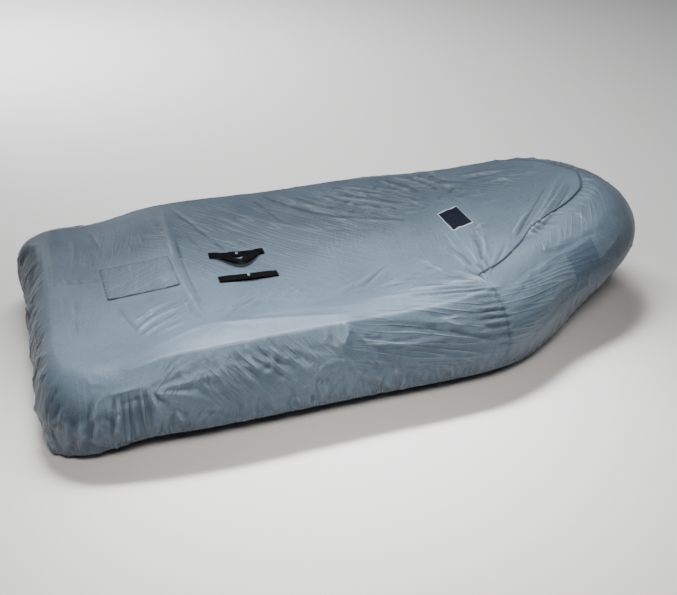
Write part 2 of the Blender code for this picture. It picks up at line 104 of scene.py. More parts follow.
def unit(vectors):
    return vectors / np.maximum(np.linalg.norm(vectors, axis=-1, keepdims=True), 1e-9)


# falls from 1 to 0 on both sides, flatter on top and steeper for a higher power
def bell(apart, reach, power=2):
    return np.exp(-(apart / reach) ** power)


# every column of a table read at some spots
def readAt(spots, known, table):
    return np.array([np.interp(spots, known, values) for values in table.T]).T


# a smooth closed line through the crown rows
def crownLine(steps=60):
    def mix(a, b, ta, tb, t):
        return a + (b - a) * (t - ta) / (tb - ta)

    count = len(crownTable)
    line = []
    for i in range(count):
        rows = [crownTable[(i + k - 1) % count] for k in range(4)]
        knots = [0.0]
        for a, b in zip(rows, rows[1:]):
            knots.append(knots[-1] + math.sqrt(math.dist(a[:2], b[:2])))
        for t in np.linspace(knots[1], knots[2], steps, endpoint=False):
            level = rows
            for size in (1, 2):
                level = [mix(level[k], level[k + 1], knots[k], knots[k + size], t)
                         for k in range(len(level) - 1)]
            line.append(mix(level[0], level[1], knots[1], knots[2], t))
    return np.array(line + line[:1])


crown = crownLine()
run = lengthsAlong(crown[:, :2])
loop = run[-1]
midship = (crown[:, 1] < 0) & (abs(crown[:, 0] - cover["midships"]) < cover["straightReach"])
shift = float(np.mean(run[midship] - crown[midship, 0]))     # stations equal x to starboard
nose = float(run[np.argmax(crown[:, 0])]) - shift


def crownAt(station):
    return readAt((station + shift) % loop, run, crown)


halves = {side: crown[crown[:, 1] * side >= 0] for side in (-1, 1)}
halves = {side: half[np.argsort(half[:, 0])] for side, half in halves.items()}


def deckHeight(x, y, side):
    half = halves[side]
    width = np.interp(x, half[:, 0], abs(half[:, 1]))
    top = np.interp(x, half[:, 0], half[:, 2])
    middle = np.interp(x, *deckLine)
    return middle + (top - middle) * np.minimum(abs(y) / np.maximum(width, cover["narrowest"]), 1.0) ** 2


# one column of the smooth surface from hem to centre line; girth is 0 on the crown, more below
def column(station):
    x, y, top, reach, fall, square, skirt, tuck = crownAt(station)
    along = unit(crownAt(station + cover["probe"])[:2] - crownAt(station - cover["probe"])[:2])
    out = np.array([along[1], -along[0]])
    t = np.linspace(1, 0, cover["skirtSteps"])[:-1, None]
    skirtPart = np.hstack([np.array([x, y]) + out * (reach - tuck * t ** 2), top - fall - skirt * t])
    angle = np.radians(np.linspace(0, 90, cover["shoulderSteps"]))[:, None]
    cosine = np.maximum(np.cos(angle), 0) ** (2 / square)
    upper = np.hstack([np.array([x, y]) + out * reach * cosine,
                       top - fall * (1 - np.sin(angle) ** (2 / square))])
    t = np.linspace(0, 1, cover["deckSteps"])[1:]
    px, py = x + (np.interp(x, *cover["spine"]) - x) * t, y * (1 - t)
    inner = np.stack([px, py, deckHeight(px, py, 1 if y > 0 else -1)], axis=1)
    places = np.vstack([skirtPart, upper, inner])
    girth = lengthsAlong(places)
    return girth[len(skirtPart) + len(upper) - 1] - girth, places


def seamGirth(station):
    ahead = nose - station
    if 0 <= ahead <= seamStarboard[0, 0]:
        return np.interp(-ahead, -seamStarboard[0], seamStarboard[1])
    if 0 < -ahead <= seamPort[0, -1]:
        return np.interp(-ahead, *seamPort)
    past = -ahead - seamPort[0, -1]
    if 0 < past < cover["seamFade"]:
        return seamPort[1, -1] * (1 - past / cover["seamFade"])
    return 0.0


# the grid: columns round the boat, rows from the hem over the crown to the centre line,
# with one row on the taut shoulder line and one on the bow panels' seam
def makeGrid():
    marks = (-shift, nose - seamStarboard[0, 0], nose, nose + seamPort[0, -1], loop - shift)
    spans = list(zip(marks, marks[1:]))
    weights = [(b - a) * (cover["closer"] if k < 2 else 1.0) for k, (a, b) in enumerate(spans)]
    counts = [round(cover["columns"] * weight / sum(weights)) for weight in weights]
    stations = np.concatenate([np.linspace(a, b, n, endpoint=False) for (a, b), n in zip(spans, counts)])
    places, girths = [], []
    for station in stations:
        girth, line = column(station)
        marks = (girth[0], np.interp(station, tautStations, tautGirths), seamGirth(station), girth[-1])
        rows = [girth[:1]] + [np.linspace(a, b, n + 1)[1:] for a, b, n in zip(
            marks, marks[1:], (cover["lowRows"], cover["topRows"], cover["deckRows"]))]
        girths.append(np.concatenate(rows))
        places.append(readAt(-girths[-1], -girth, line))
    return np.array(places).transpose(1, 0, 2), stations, np.array(girths).T, np.cumsum(counts)[:3]


places, stations, girths, (first, middle, last) = makeGrid()


def normalsOf(grid):
    around = np.roll(grid, -1, axis=1) - np.roll(grid, 1, axis=1)
    normal = np.cross(around, np.gradient(grid, axis=0))
    normal[-1] = (0, 0, 1)
    return unit(normal)


normals = normalsOf(places)
print(f"surface: {places.shape[0]} rows by {places.shape[1]} columns, loop {loop:.3f} m")


# a point of the smooth surface at a station and girth
def onSide(station, girth):
    spot = (station + shift) % loop - shift
    i = int(np.searchsorted(stations, spot)) - 1
    k = (i + 1) % len(stations)
    after = stations[k] if k else stations[0] + loop
    share = (spot - stations[i]) / (after - stations[i])
    near, far = (readAt(-girth, -girths[:, c], places[:, c]) for c in (i, k))
    return near * (1 - share) + far * share


def onDeck(x, y):
    return np.array([x, y, float(deckHeight(x, y, 1 if y > 0 else -1))])


# folds
# each: height mm (hollow below 0), width mm at its start and end, then its points in turn,
# (station, girth) on the sides and (x, y) on the deck
sideFolds = {
    "stern wall": (
        (4.5, 26, 30, 5.22, .05, 5.58, .04, -.3, .03), (-4.5, 20, 24, 5.2, .09, 5.61, .1, -.27, .11),
        (4, 18, 22, -.49, .1, -.38, .08, -.28, .04), (-4, 16, 16, -.52, .16, -.4, .14, -.33, .1),
        (6, 10, 16, -.19, .11, -.12, .03), (-4, 8, 11, -.16, .14, -.09, .06),
        (6.5, 22, 28, -.17, .06, -.16, .2, -.15, .33), (-7, 24, 30, -.27, .04, -.26, .18, -.25, .32),
        (7, 24, 30, -.38, .08, -.37, .2, -.36, .32), (-6.5, 24, 30, -.5, .06, -.51, .18, -.52, .3),
        (7, 26, 30, 5.62, .04, 5.61, .18, 5.6, .31), (-6.5, 24, 28, 5.5, .04, 5.5, .31),
        (6, 24, 26, 5.38, .05, 5.36, .3), (-4.5, 24, 26, 5.25, .08, 5.22, .3),
    ),
    "stern corner, pulled in by the elastic": (
        (5.5, 6, 7, -.02, .08, -.03, .18, -.04, .26), (-5, 5, 6, -.01, .1, -.02, .18, -.03, .25),
        (5.5, 6, 7, -.01, .12, -.02, .2, -.03, .28), (-5.5, 6, 7, 0, .15, -.01, .22, -.03, .3),
        (7, 6, 8, .01, .16, -.02, .24, -.04, .32), (-7, 6, 7, -.05, .12, -.05, .24, -.05, .34),
        (7.5, 7, 8, -.07, .14, -.07, .26, -.07, .34), (-5.5, 7, 7, -.1, .12, -.1, .24, -.09, .35),
        (-3, 16, 16, -.01, .19, .03, .21, .06, .21), (10, 8, 7, .01, .22, .01, .29, -.01, .36),
        (-8.5, 6, 7, .022, .23, .02, .3, 0, .37), (8.5, 7, 7, .04, .22, .04, .28, .02, .36),
        (-7.5, 6, 7, .055, .24, .05, .3, .045, .36), (7, 6, 6, .07, .23, .062, .29, .065, .36),
        (10.5, 7, 8, -.035, .24, -.02, .3, -.03, .38), (-10, 6, 7, -.018, .27, -.012, .32, -.015, .38),
    ),
    "tube end": (
        (-1.5, 22, 26, -.01, 0, .03, .11), (1.5, 7, 6, .05, .06, .08, .12),
        (2, 6, 5, .06, .09, .09, .11, .12, .13), (-2, 6, 5, .07, .11, .1, .12, .13, .13),
    ),
    "tab and ledge": (
        (5, 8, 8, .07, .26, .068, .2, .078, .16, .1, .146, .12, .15),
        (-4, 6, 6, .055, .3, .055, .22, .06, .17, .075, .14), (3, 6, 6, .088, .18, .08, .26, .078, .34),
        (-5, 6, 6, .125, .165, .112, .21, .104, .26, .1, .33),
        (6, 8, 8, .115, .15, .15, .154, .2, .158, .245, .166), (-4, 14, 14, .13, .19, .18, .195, .235, .2),
        (5, 6, 6, .135, .18, .125, .24, .112, .33), (4, 6, 6, .105, .19, .095, .26, .092, .34),
    ),
    "hanging from the ledge": (
        (-2.5, 5, 6, .15, .19, .142, .25, .135, .34), (4, 6, 7, .162, .18, .155, .25, .15, .35),
        (-2.5, 5, 6, .172, .19, .168, .26, .168, .35), (3, 6, 6, .185, .18, .185, .26, .19, .35),
        (-2.5, 5, 6, .198, .19, .2, .26, .207, .35), (3, 6, 6, .212, .18, .215, .26, .225, .35),
        (-3, 6, 7, .228, .19, .235, .26, .25, .36), (6, 7, 6, .242, .185, .258, .245, .275, .29, .295, .33),
        (-4.5, 6, 8, .25, .19, .29, .26, .32, .34), (4, 6, 7, .255, .185, .31, .26, .345, .36),
    ),
    "pull lines from the ledge's end": (
        (4, 6, 11, .245, .168, .29, .13, .33, .095), (-2, 5, 8, .25, .17, .31, .135, .36, .105),
        (3.5, 5, 9, .25, .17, .33, .14, .39, .12), (-2, 5, 8, .255, .175, .34, .148, .41, .13),
        (2.5, 5, 8, .26, .178, .35, .155, .43, .135), (-2.5, 6, 11, .255, .18, .34, .178, .42, .17),
        (3.5, 6, 10, .26, .19, .34, .2, .41, .21, .47, .2), (-2.5, 6, 11, .26, .195, .36, .225, .45, .245),
        (3.5, 6, 10, .26, .2, .3, .215, .38, .26, .46, .31), (-3.5, 6, 11, .26, .21, .31, .26, .37, .33),
        (3.5, 6, 10, .27, .23, .31, .3, .39, .38), (4, 6, 6, .31, .25, .35, .3, .38, .36),
        (4, 6, 6, .42, .23, .47, .28, .49, .33), (-3.5, 6, 6, .4, .24, .45, .3, .475, .345),
        (2, 6, 6, .35, .21, .4, .19, .45, .19), (2, 6, 6, .35, .38, .42, .345),
        (2, 6, 6, .45, .37, .49, .34),
    ),
    "slanting down aft of the peak": (
        (3, 7, 9, .52, .15, .545, .2, .59, .27, .64, .3), (-3, 6, 8, .535, .15, .57, .2, .62, .27),
        (3, 7, 9, .55, .15, .6, .205, .69, .29), (-3, 6, 8, .565, .145, .62, .2, .7, .27),
        (3, 6, 9, .585, .145, .65, .205, .74, .28), (-3, 8, 10, .6, .14, .67, .2, .77, .265),
        (3, 7, 10, .63, .14, .7, .195, .8, .25), (-2, 6, 8, .66, .14, .73, .185, .8, .22),
        (3, 6, 8, .69, .135, .76, .18, .84, .22), (-1.5, 6, 8, .74, .135, .8, .175, .86, .205),
        (1.5, 6, 7, .78, .13, .84, .165), (-3, 7, 8, .505, .2, .53, .25, .575, .29),
        (2, 6, 7, .49, .19, .51, .25, .55, .3),
    ),
    "the peak amidships": (
        (11, 22, 34, .955, .115, .935, .165, .92, .235), (3, 8, 10, .93, .095, .92, .13, .915, .22),
        (-10, 40, 46, .8, .305, .86, .315, .94, .33), (-6, 26, 30, .96, .325, 1.05, .355),
        (-3, 8, 11, .91, .245, .86, .3, .82, .33), (3, 6, 8, .925, .235, .89, .27, .86, .31),
        (4.5, 7, 9, .925, .245, .97, .3, 1.03, .355, 1.08, .385), (-3, 6, 9, .925, .26, .96, .32, .98, .36),
        (3, 6, 9, .9, .24, .84, .255, .78, .295), (3, 6, 7, .92, .26, .925, .32, .92, .37),
        (3, 6, 8, .965, .13, .94, .165, .92, .19),
    ),
    "drawn towards the starboard seam": (
        (-3.5, 10, 11, 1.05, .128, 1.17, .165, 1.3, .195, 1.4, .23, 1.54, .262),
        (3.5, 10, 10, 1.1, .118, 1.22, .15, 1.34, .178, 1.47, .205, 1.54, .238),
        (-2, 7, 8, 1.2, .118, 1.3, .14, 1.42, .162, 1.53, .19),
        (2.5, 8, 8, 1.24, .112, 1.36, .134, 1.47, .15, 1.54, .165),
        (3.5, 7, 7, .98, .155, 1.02, .2, 1.1, .222, 1.2, .23, 1.3, .23, 1.38, .222),
        (-2, 6, 6, 1.03, .19, 1.11, .207, 1.2, .213, 1.3, .212), (2, 6, 7, .99, .16, 1.03, .23, 1.08, .262),
        (2, 6, 6, 1.09, .222, 1.13, .25, 1.2, .232), (2, 6, 6, 1.11, .25, 1.15, .24),
        (-2, 8, 10, 1.1, .24, 1.2, .252, 1.32, .252),
        (2.5, 8, 9, 1.28, .185, 1.38, .215, 1.49, .272, 1.56, .312),
        (-2, 7, 8, 1.34, .215, 1.44, .255, 1.54, .318), (2, 7, 8, 1.34, .235, 1.45, .28, 1.55, .345),
        (-2, 10, 11, 1.24, .26, 1.33, .3, 1.45, .325), (2, 8, 9, 1.24, .275, 1.33, .315, 1.45, .335),
        (3.5, 6, 7, 1.105, .27, 1.112, .31, 1.1, .355), (-2, 6, 7, 1.13, .275, 1.14, .33),
        (2, 6, 6, 1.27, .345, 1.31, .285), (2, 6, 6, 1.38, .3, 1.45, .312),
        (2, 7, 7, .96, .1, 1.02, .095, 1.06, .1),
    ),
    "pleats at the starboard seam": tuple(
        (height, 6, 7, 1.55, girth + .02, 1.515, girth + .01, back, girth - .004)
        for girth, height, back in (
            (.070, 4, 1.44), (.083, -5, 1.43), (.096, 6, 1.42), (.110, -5, 1.45), (.123, 5, 1.41),
            (.136, -5, 1.44), (.150, 6, 1.42), (.163, -5, 1.45), (.177, 5, 1.43), (.192, -5, 1.40),
            (.206, 5, 1.44), (.222, -4, 1.45), (.240, 5, 1.43), (.258, -4, 1.42), (.278, 5, 1.45),
            (.300, -4, 1.44), (.322, 5, 1.45), (.345, 4, 1.46))
    ),
    "port side": (
        (5.5, 22, 26, 4.95, .11, 4.78, .2, 4.6, .3), (-5, 22, 26, 4.7, .12, 4.58, .2, 4.45, .29),
        (7, 24, 28, 4.4, .1, 4.31, .22, 4.2, .3), (-5, 24, 28, 4.05, .13, 3.92, .2, 3.75, .29),
        (5, 22, 26, 3.85, .11, 3.67, .18, 3.5, .26), (-5.5, 26, 30, 4.3, .33, 4, .34),
        (3.5, 8, 10, 4.88, .12, 4.66, .22, 4.52, .3), (3.5, 8, 10, 4.3, .12, 4.18, .22, 4.02, .3),
        (-3, 7, 9, 4.18, .12, 4.08, .21, 3.95, .29), (3.5, 7, 10, 3.98, .1, 3.8, .18, 3.62, .23),
        (3, 7, 9, 3.7, .09, 3.48, .15, 3.28, .17), (-3, 7, 9, 3.62, .14, 3.45, .19, 3.28, .22),
        (5, 7, 8, 5.05, .13, 5.02, .22, 5.04, .33), (-5, 7, 8, 5.1, .15, 5.09, .25, 5.11, .34),
        (5, 7, 8, 5.16, .15, 5.17, .25, 5.17, .34),
    ),
    "bow panels": (
        (-3, 11, 11, 1.57, .15, 1.72, .128, 1.87, .138, 1.98, .155),
        (3, 10, 10, 1.6, .125, 1.7, .108, 1.83, .118, 1.96, .132),
        (2.5, 9, 10, 1.57, .185, 1.7, .172, 1.84, .178), (-2.5, 9, 10, 1.57, .215, 1.68, .205, 1.8, .208),
        (2.5, 10, 10, 1.6, .25, 1.72, .238, 1.92, .246),
        (3, 9, 9, 1.61, .385, 1.67, .325, 1.8, .3, 2.02, .308),
        (-2.5, 9, 9, 1.6, .35, 1.7, .3, 1.86, .284, 2.02, .29),
        (2.5, 8, 8, 1.66, .365, 1.77, .325, 1.98, .318), (2.5, 8, 8, 1.57, .3, 1.66, .28, 1.78, .27),
        (2.5, 10, 10, 1.89, .09, 2.04, .098, 2.2, .122), (-2.5, 10, 10, 1.92, .115, 2.08, .122, 2.22, .145),
        (2.5, 7, 8, 1.96, .23, 1.9, .32, 1.85, .35), (2.5, 7, 8, 2.03, .255, 2, .32),
        (2.5, 9, 10, 2.11, .235, 2.21, .205, 2.32, .18), (2.5, 20, 22, 2.36, .05, 2.45, .14, 2.52, .22),
        (-2.5, 16, 18, 2.46, .06, 2.55, .14, 2.62, .2), (3, 18, 20, 2.68, .05, 2.78, .14, 2.88, .23),
        (-2.5, 16, 18, 2.8, .06, 2.93, .15, 3.02, .24), (2.5, 10, 11, 2.95, .07, 3.08, .17, 3.16, .28),
    ),
    "short gathers on the bow side of the seam": tuple(
        (height, 6, 7, station, girth, station + reachX, girth + drop)
        for station, girth, reachX, drop, height in (
            (1.66, -.030, .07, -.006, 5), (1.69, -.034, .06, .000, -4), (1.74, -.040, .04, .012, 5),
            (1.90, -.070, .03, .070, 6), (1.93, -.075, .04, .085, 6), (1.945, -.078, .045, .080, -5),
            (1.96, -.082, .06, .090, 6), (1.985, -.082, .06, .080, -5), (2.00, -.086, .08, .080, 6),
            (2.03, -.088, .10, .095, 6), (2.05, -.088, .09, .085, -5), (2.08, -.086, .08, .110, 6),
            (2.12, -.086, .06, .100, 5), (2.16, -.080, .04, .100, 5), (2.21, -.078, .02, .100, 5),
            (2.27, -.068, .01, .100, 6), (2.32, -.062, -.03, .090, 6), (2.37, -.052, -.05, .080, 6),
            (2.41, -.046, -.06, .080, 6), (2.44, -.040, -.08, .080, 5), (2.48, -.030, -.05, .090, 6),
            (2.52, -.025, -.02, .090, 5), (2.60, -.025, .02, .080, 6), (2.64, -.025, .03, .090, 5),
            (2.70, -.020, .03, .080, 6), (2.75, -.015, .04, .090, 5), (2.82, -.005, .03, .080, 6),
            (2.90, .010, .03, .080, 5), (3.00, .035, .03, .080, 6), (3.10, .055, .02, .080, 5))
    ),
    "pull lines into the corner of the seam": (
        (7.5, 6, 11, 1.535, .05, 1.555, -.02, 1.56, -.1),
        (-6.5, 5, 10, 1.545, .045, 1.575, -.02, 1.585, -.09),
        (9.5, 6, 11, 1.55, .04, 1.59, -.04, 1.61, -.11),
        (-6.5, 5, 10, 1.555, .035, 1.605, -.03, 1.645, -.12),
        (7.5, 6, 10, 1.56, .03, 1.63, -.06, 1.66, -.13), (6.5, 5, 10, 1.57, .02, 1.66, -.06, 1.73, -.13),
        (-6.5, 5, 8, 1.575, .015, 1.68, -.045, 1.76, -.1), (6.5, 5, 7, 1.585, .005, 1.7, -.045, 1.8, -.1),
        (-6.5, 5, 10, 1.53, .055, 1.53, -.01, 1.52, -.09), (7.5, 6, 10, 1.53, .055, 1.5, -.02, 1.46, -.12),
        (-6.5, 5, 9, 1.525, .058, 1.47, -.01, 1.41, -.08), (6.5, 6, 10, 1.52, .06, 1.45, .01, 1.34, -.05),
        (-6.5, 5, 8, 1.52, .062, 1.42, .02, 1.3, -.02),
        (6.5, 6, 9, 1.515, .066, 1.41, .03, 1.28, 0, 1.16, -.01),
        (-6.5, 5, 8, 1.51, .072, 1.38, .042, 1.24, .018),
        (6.5, 6, 9, 1.51, .08, 1.38, .052, 1.24, .03, 1.08, .015),
        (-6.5, 6, 8, 1.51, .088, 1.38, .065, 1.24, .045), (6.5, 6, 9, 1.51, .095, 1.38, .075, 1.26, .058),
    ),
    "along the crown": (
        (4.5, 7, 10, .5, .005, .6, .03, .72, .048, .86, .065, .98, .08),
        (-2.4, 8, 11, .52, -.01, .66, .015, .8, .03, .95, .045),
        (3, 7, 11, .49, .005, .42, .012, .34, .028, .23, .04),
        (3, 6, 8, .94, -.065, 1.04, -.05, 1.12, -.015), (2.4, 5, 6, .56, .01, .58, -.06),
        (2.4, 5, 6, .77, -.11, .88, -.05, .99, -.06),
    ),
}
deckFolds = {
    "over the transom": (
        (12, 28, 28, .475, .54, .462, .3, .45, .034, .456, -.2, .462, -.42),
        (7, 7, 8, .452, .15, .44, -.1, .452, -.3, .48, -.5), (-5, 8, 8, .485, .2, .478, -.1, .49, -.4),
    ),
    "seam from the stern to the patch": (
        (3, 8, 8, -.055, .046, .06, .031, .16, .012), (3, 8, 8, -.055, .018, .06, .003, .16, -.016),
    ) + tuple(
        (height, 6, 6, .021 * k - .045, .058 - .003 * k, .021 * k - .04, .004 - .003 * k)
        for k, height in enumerate((2.5, -2, 2.5, 2, -2, 2.5, -2, 2, 2.5, -2))
    ),
    "slanting across the middle": (
        (-5, 9, 10, .518, .53, .57, .38, .614, .23, .668, .05),
        (3.5, 8, 10, .535, .53, .59, .38, .635, .22), (-3.5, 7, 8, .538, .26, .56, .15, .588, 0),
        (-2.5, 6, 7, .65, .13, .68, .02), (-2.5, 6, 7, .75, .13, .77, .02),
        (2.5, 6, 7, .76, .37, .775, .3, .81, .28), (-5, 10, 11, .91, .52, .97, .26, 1.04, .16),
        (-7, 12, 13, .96, .56, 1.03, .44, 1.14, .3, 1.29, .15),
        (5.5, 10, 11, 1.02, .56, 1.09, .43, 1.2, .3, 1.33, .17),
        (-5.5, 9, 10, 1.1, .5, 1.18, .38, 1.28, .27, 1.4, .17),
        (5.5, 9, 10, 1.18, .5, 1.26, .38, 1.36, .27, 1.47, .19),
        (-5.5, 10, 11, 1.2, .25, 1.29, .19, 1.4, .13, 1.53, .05),
        (5, 9, 10, 1.2, .2, 1.3, .14, 1.41, .08, 1.5, .03), (-5, 8, 10, 1.15, .1, 1.28, .05, 1.4, 0),
    ),
    "bunched at the port tube": (
        (8, 8, 8, 1.26, .54, 1.38, .46, 1.5, .35), (-8, 7, 8, 1.3, .53, 1.42, .45, 1.54, .34),
        (8, 8, 8, 1.38, .5, 1.48, .42, 1.57, .28), (-8, 7, 8, 1.34, .42, 1.45, .35, 1.55, .24),
        (8, 7, 8, 1.29, .41, 1.4, .33, 1.5, .24), (8, 8, 8, 1.54, .52, 1.59, .43, 1.63, .31),
        (-8, 8, 8, 1.57, .52, 1.63, .42, 1.67, .29), (8, 8, 8, 1.61, .52, 1.68, .41, 1.72, .3),
        (8, 8, 8, 1.7, .47, 1.76, .32, 1.84, .24), (-8, 8, 8, 1.75, .46, 1.81, .33, 1.9, .25),
        (7, 7, 8, 1.58, .27, 1.63, .14), (8, 8, 10, 1.88, .33, 2.02, .26, 2.14, .21),
        (-7, 8, 10, 1.9, .29, 2.03, .23, 2.13, .17), (7, 8, 8, 1.94, .2, 2.02, .18, 2.1, .13),
        (5, 7, 8, 1.84, .13, 1.93, .11), (5, 7, 8, 1.84, .03, 1.93, .02),
    ),
    "stern deck": (
        (3.4, 6, 7, 0, -.08, .01, -.22), (5, 6, 8, .04, -.12, .032, -.32),
        (-3.4, 5, 7, .04, -.24, .042, -.4), (3.4, 6, 8, .01, -.24, .015, -.46),
        (3.4, 7, 8, .07, .45, .06, .18), (-3.4, 7, 8, .15, .5, .18, .26), (3.4, 6, 6, .3, .24, .29, .17),
        (3.4, 6, 6, .35, .33, .35, .23), (7, 5, 7, .23, -.41, .31, -.35, .37, -.335),
        (-5, 5, 6, .235, -.44, .3, -.39, .37, -.37), (8, 5, 7, .24, -.47, .3, -.42, .39, -.4),
        (-5, 5, 6, .25, -.49, .32, -.45, .4, -.435), (8, 5, 7, .25, -.51, .35, -.475, .42, -.47),
        (7, 5, 7, .29, -.53, .39, -.52, .45, -.52), (-5, 6, 7, .2, -.26, .22, -.36, .25, -.48),
        (7, 5, 6, .43, -.38, .435, -.45), (5, 5, 6, .435, -.47, .47, -.54),
    ),
    "near the starboard tube": (
        (4, 5, 7, .54, -.54, .6, -.44, .67, -.4), (-3, 5, 6, .56, -.55, .62, -.46, .68, -.42),
        (4, 5, 7, .61, -.5, .7, -.43, .75, -.43), (3, 6, 7, .83, -.33, .86, -.46),
        (5, 6, 8, 1.07, -.46, 1.16, -.37, 1.24, -.3), (-4, 6, 7, 1.1, -.46, 1.19, -.37, 1.26, -.31),
        (5, 6, 8, 1.13, -.46, 1.22, -.36, 1.28, -.32), (4, 6, 7, 1, -.48, 1.13, -.49, 1.24, -.49),
        (-3, 6, 7, 1.1, -.51, 1.22, -.505, 1.32, -.49), (4, 6, 7, 1.17, -.48, 1.26, -.46, 1.35, -.445),
    ),
    "pulled to the corner of the seam": (
        (9.5, 7, 8, 1.43, -.48, 1.4, -.38, 1.38, -.3), (7, 6, 7, 1.43, -.39, 1.38, -.35),
        (9.5, 7, 10, 1.53, -.46, 1.53, -.36, 1.51, -.26), (9.5, 7, 10, 1.58, -.46, 1.6, -.36, 1.6, -.27),
        (-9.5, 7, 9, 1.555, -.46, 1.565, -.36, 1.555, -.26),
        (9.5, 7, 10, 1.63, -.42, 1.68, -.32, 1.73, -.2, 1.76, -.09),
        (-9.5, 7, 9, 1.61, -.44, 1.65, -.33, 1.68, -.22), (7, 6, 8, 1.71, -.19, 1.67, -.34),
        (7, 6, 8, 1.59, -.13, 1.56, -.33), (7, 6, 8, 1.71, -.17, 1.8, -.13),
    ),
    "pleats along the bow seam": (
        (17, 13, 17, 1.83, -.365, 1.94, -.27, 2.09, -.13, 2.18, -.03, 2.26, .03),
        (-10, 8, 8, 1.82, -.335, 1.91, -.235, 2.05, -.1, 2.14, -.01),
        (12, 8, 10, 1.86, -.365, 1.99, -.25, 2.12, -.14, 2.22, -.04),
        (-8, 7, 8, 1.9, -.365, 2.02, -.27, 2.14, -.16, 2.23, -.07),
        (8, 8, 8, 1.81, -.385, 1.94, -.31, 2.09, -.215, 2.25, -.11),
        (8, 8, 9, 1.81, -.31, 1.91, -.21, 2.03, -.13), (10, 24, 28, 1.95, .28, 2.08, .2, 2.22, .1),
    ),
}
# small creases scattered over a stretch: from and to corner, how many, heading and spread in
# degrees, length, width and height in mm
sideCrumples = (
    (.3, .14, .95, .33, 110, 45, 38, 60, 6, 1.8), (.62, .2, .8, .32, 40, 35, 75, 45, 6, 1.8),
    (.36, .33, 1.52, .405, 220, 65, 40, 60, 6, 2.8), (-.13, .22, .12, .42, 80, 85, 25, 65, 6, 5.5),
    (.95, .12, 1.52, .34, 110, 12, 26, 80, 6, 1.6), (.02, .3, .35, .36, 60, 85, 20, 45, 6, 3),
    (1.6, .05, 2.5, .3, 110, -12, 24, 80, 8, 1.5), (.98, .26, 1.2, .36, 40, 60, 50, 45, 7, 2.2),
    (-.54, .06, -.05, .32, 110, 80, 45, 60, 8, 3.2), (5.2, .06, 5.68, .32, 110, 80, 45, 60, 8, 3.2),
    (2.5, .02, 3.2, .3, 110, 30, 40, 70, 9, 2.4), (3.2, .06, 5.15, .34, 330, -40, 40, 75, 9, 2.4),
    (5.64, .1, 5.69, .17, 20, 30, 80, 35, 7, 6),
)
deckCrumples = (
    (.5, -.5, 1.5, .45, 260, -50, 30, 70, 8, 1.3), (0, -.5, .45, .5, 130, -80, 35, 60, 8, 1.2),
    (1.22, .12, 1.85, .52, 230, -50, 35, 60, 7, 3.2), (.95, .35, 1.3, .54, 50, -55, 25, 60, 8, 2.4),
    (1.35, -.4, 1.85, .1, 130, 80, 45, 55, 7, 1.9), (.2, -.54, .46, -.34, 50, 35, 25, 45, 6, 2.6),
    (.5, -.53, .9, -.36, 60, 30, 30, 50, 6, 2.2), (1, -.53, 1.5, -.42, 60, 10, 18, 70, 6, 2.2),
    (1.85, -.2, 2.2, .25, 70, 40, 30, 60, 8, 2),
)
scatter = {"lengths": (0.5, 1.5), "bend": 0.12, "heights": (0.4, 1.3), "widths": (0.75, 1.3)}
foldShape = {
    "step": 0.4, "shortestStep": 0.004,     # sampling along a fold, in its widths and in metres
    "pieceLength": 0.03,                    # a straight between two points follows the boat in these
    "reach": 2.4,                           # how far it acts, in its widths
    "swell": 0.18, "fade": 0.45,            # shares of its length where it rises and dies out
    "least": 0.25, "point": 1.25,           # height kept at its ends, and how pointed it is across
    "smoothing": 10,                        # rounds that take the crests off, to tell where they are
}


def creaseLine(points, place, step):
    ends = [place(*point) for point in points]
    flat = []
    for a, b, p, q in zip(points, points[1:], ends, ends[1:]):
        parts = max(2, int(np.linalg.norm(q - p) / foldShape["pieceLength"]) + 1)
        flat += [place(a[0] + (b[0] - a[0]) * t, a[1] + (b[1] - a[1]) * t)
                 for t in np.linspace(0, 1, parts, endpoint=False)]
    line = np.array(flat + ends[-1:])
    lengths = lengthsAlong(line)
    return readAt(np.linspace(0, lengths[-1], max(3, int(lengths[-1] / step) + 1)), lengths, line)


flatPlaces = np.ascontiguousarray(places.reshape(-1, 3))
axisPlaces = [np.ascontiguousarray(flatPlaces[:, axis]) for axis in range(3)]


# raises one crease: pointed across, rising fast at its start and dying out at its end
def press(lift, crease, place):
    height, startWidth, endWidth, *spots = crease
    step = max(foldShape["shortestStep"], foldShape["step"] * min(startWidth, endWidth) / 1000)
    line = creaseLine(list(zip(spots[::2], spots[1::2])), place, step)
    margin = foldShape["reach"] * max(startWidth, endWidth) / 1000
    near = None
    for axis in range(3):
        values = axisPlaces[axis] if near is None else axisPlaces[axis][near]
        inside = (values >= line[:, axis].min() - margin) & (values <= line[:, axis].max() + margin)
        near = np.flatnonzero(inside) if near is None else near[inside]
    if not len(near):
        return
    spots = flatPlaces[near]
    squared = (spots ** 2).sum(axis=1)[:, None] - 2 * spots @ line.T + (line ** 2).sum(axis=1)
    closest = squared.argmin(axis=1)
    along = closest / (len(line) - 1)
    width = (startWidth + (endWidth - startWidth) * along) / 1000
    across = np.sqrt(np.maximum(squared[np.arange(len(near)), closest], 0)) / width
    rise = np.clip(along / foldShape["swell"], 0, 1) ** 0.5
    rise *= np.clip((1 - along) / foldShape["fade"], 0, 1) ** 0.7
    least = foldShape["least"]
    lift[near] += height / 1000 * (least + (1 - least) * rise) * np.exp(-across ** foldShape["point"])


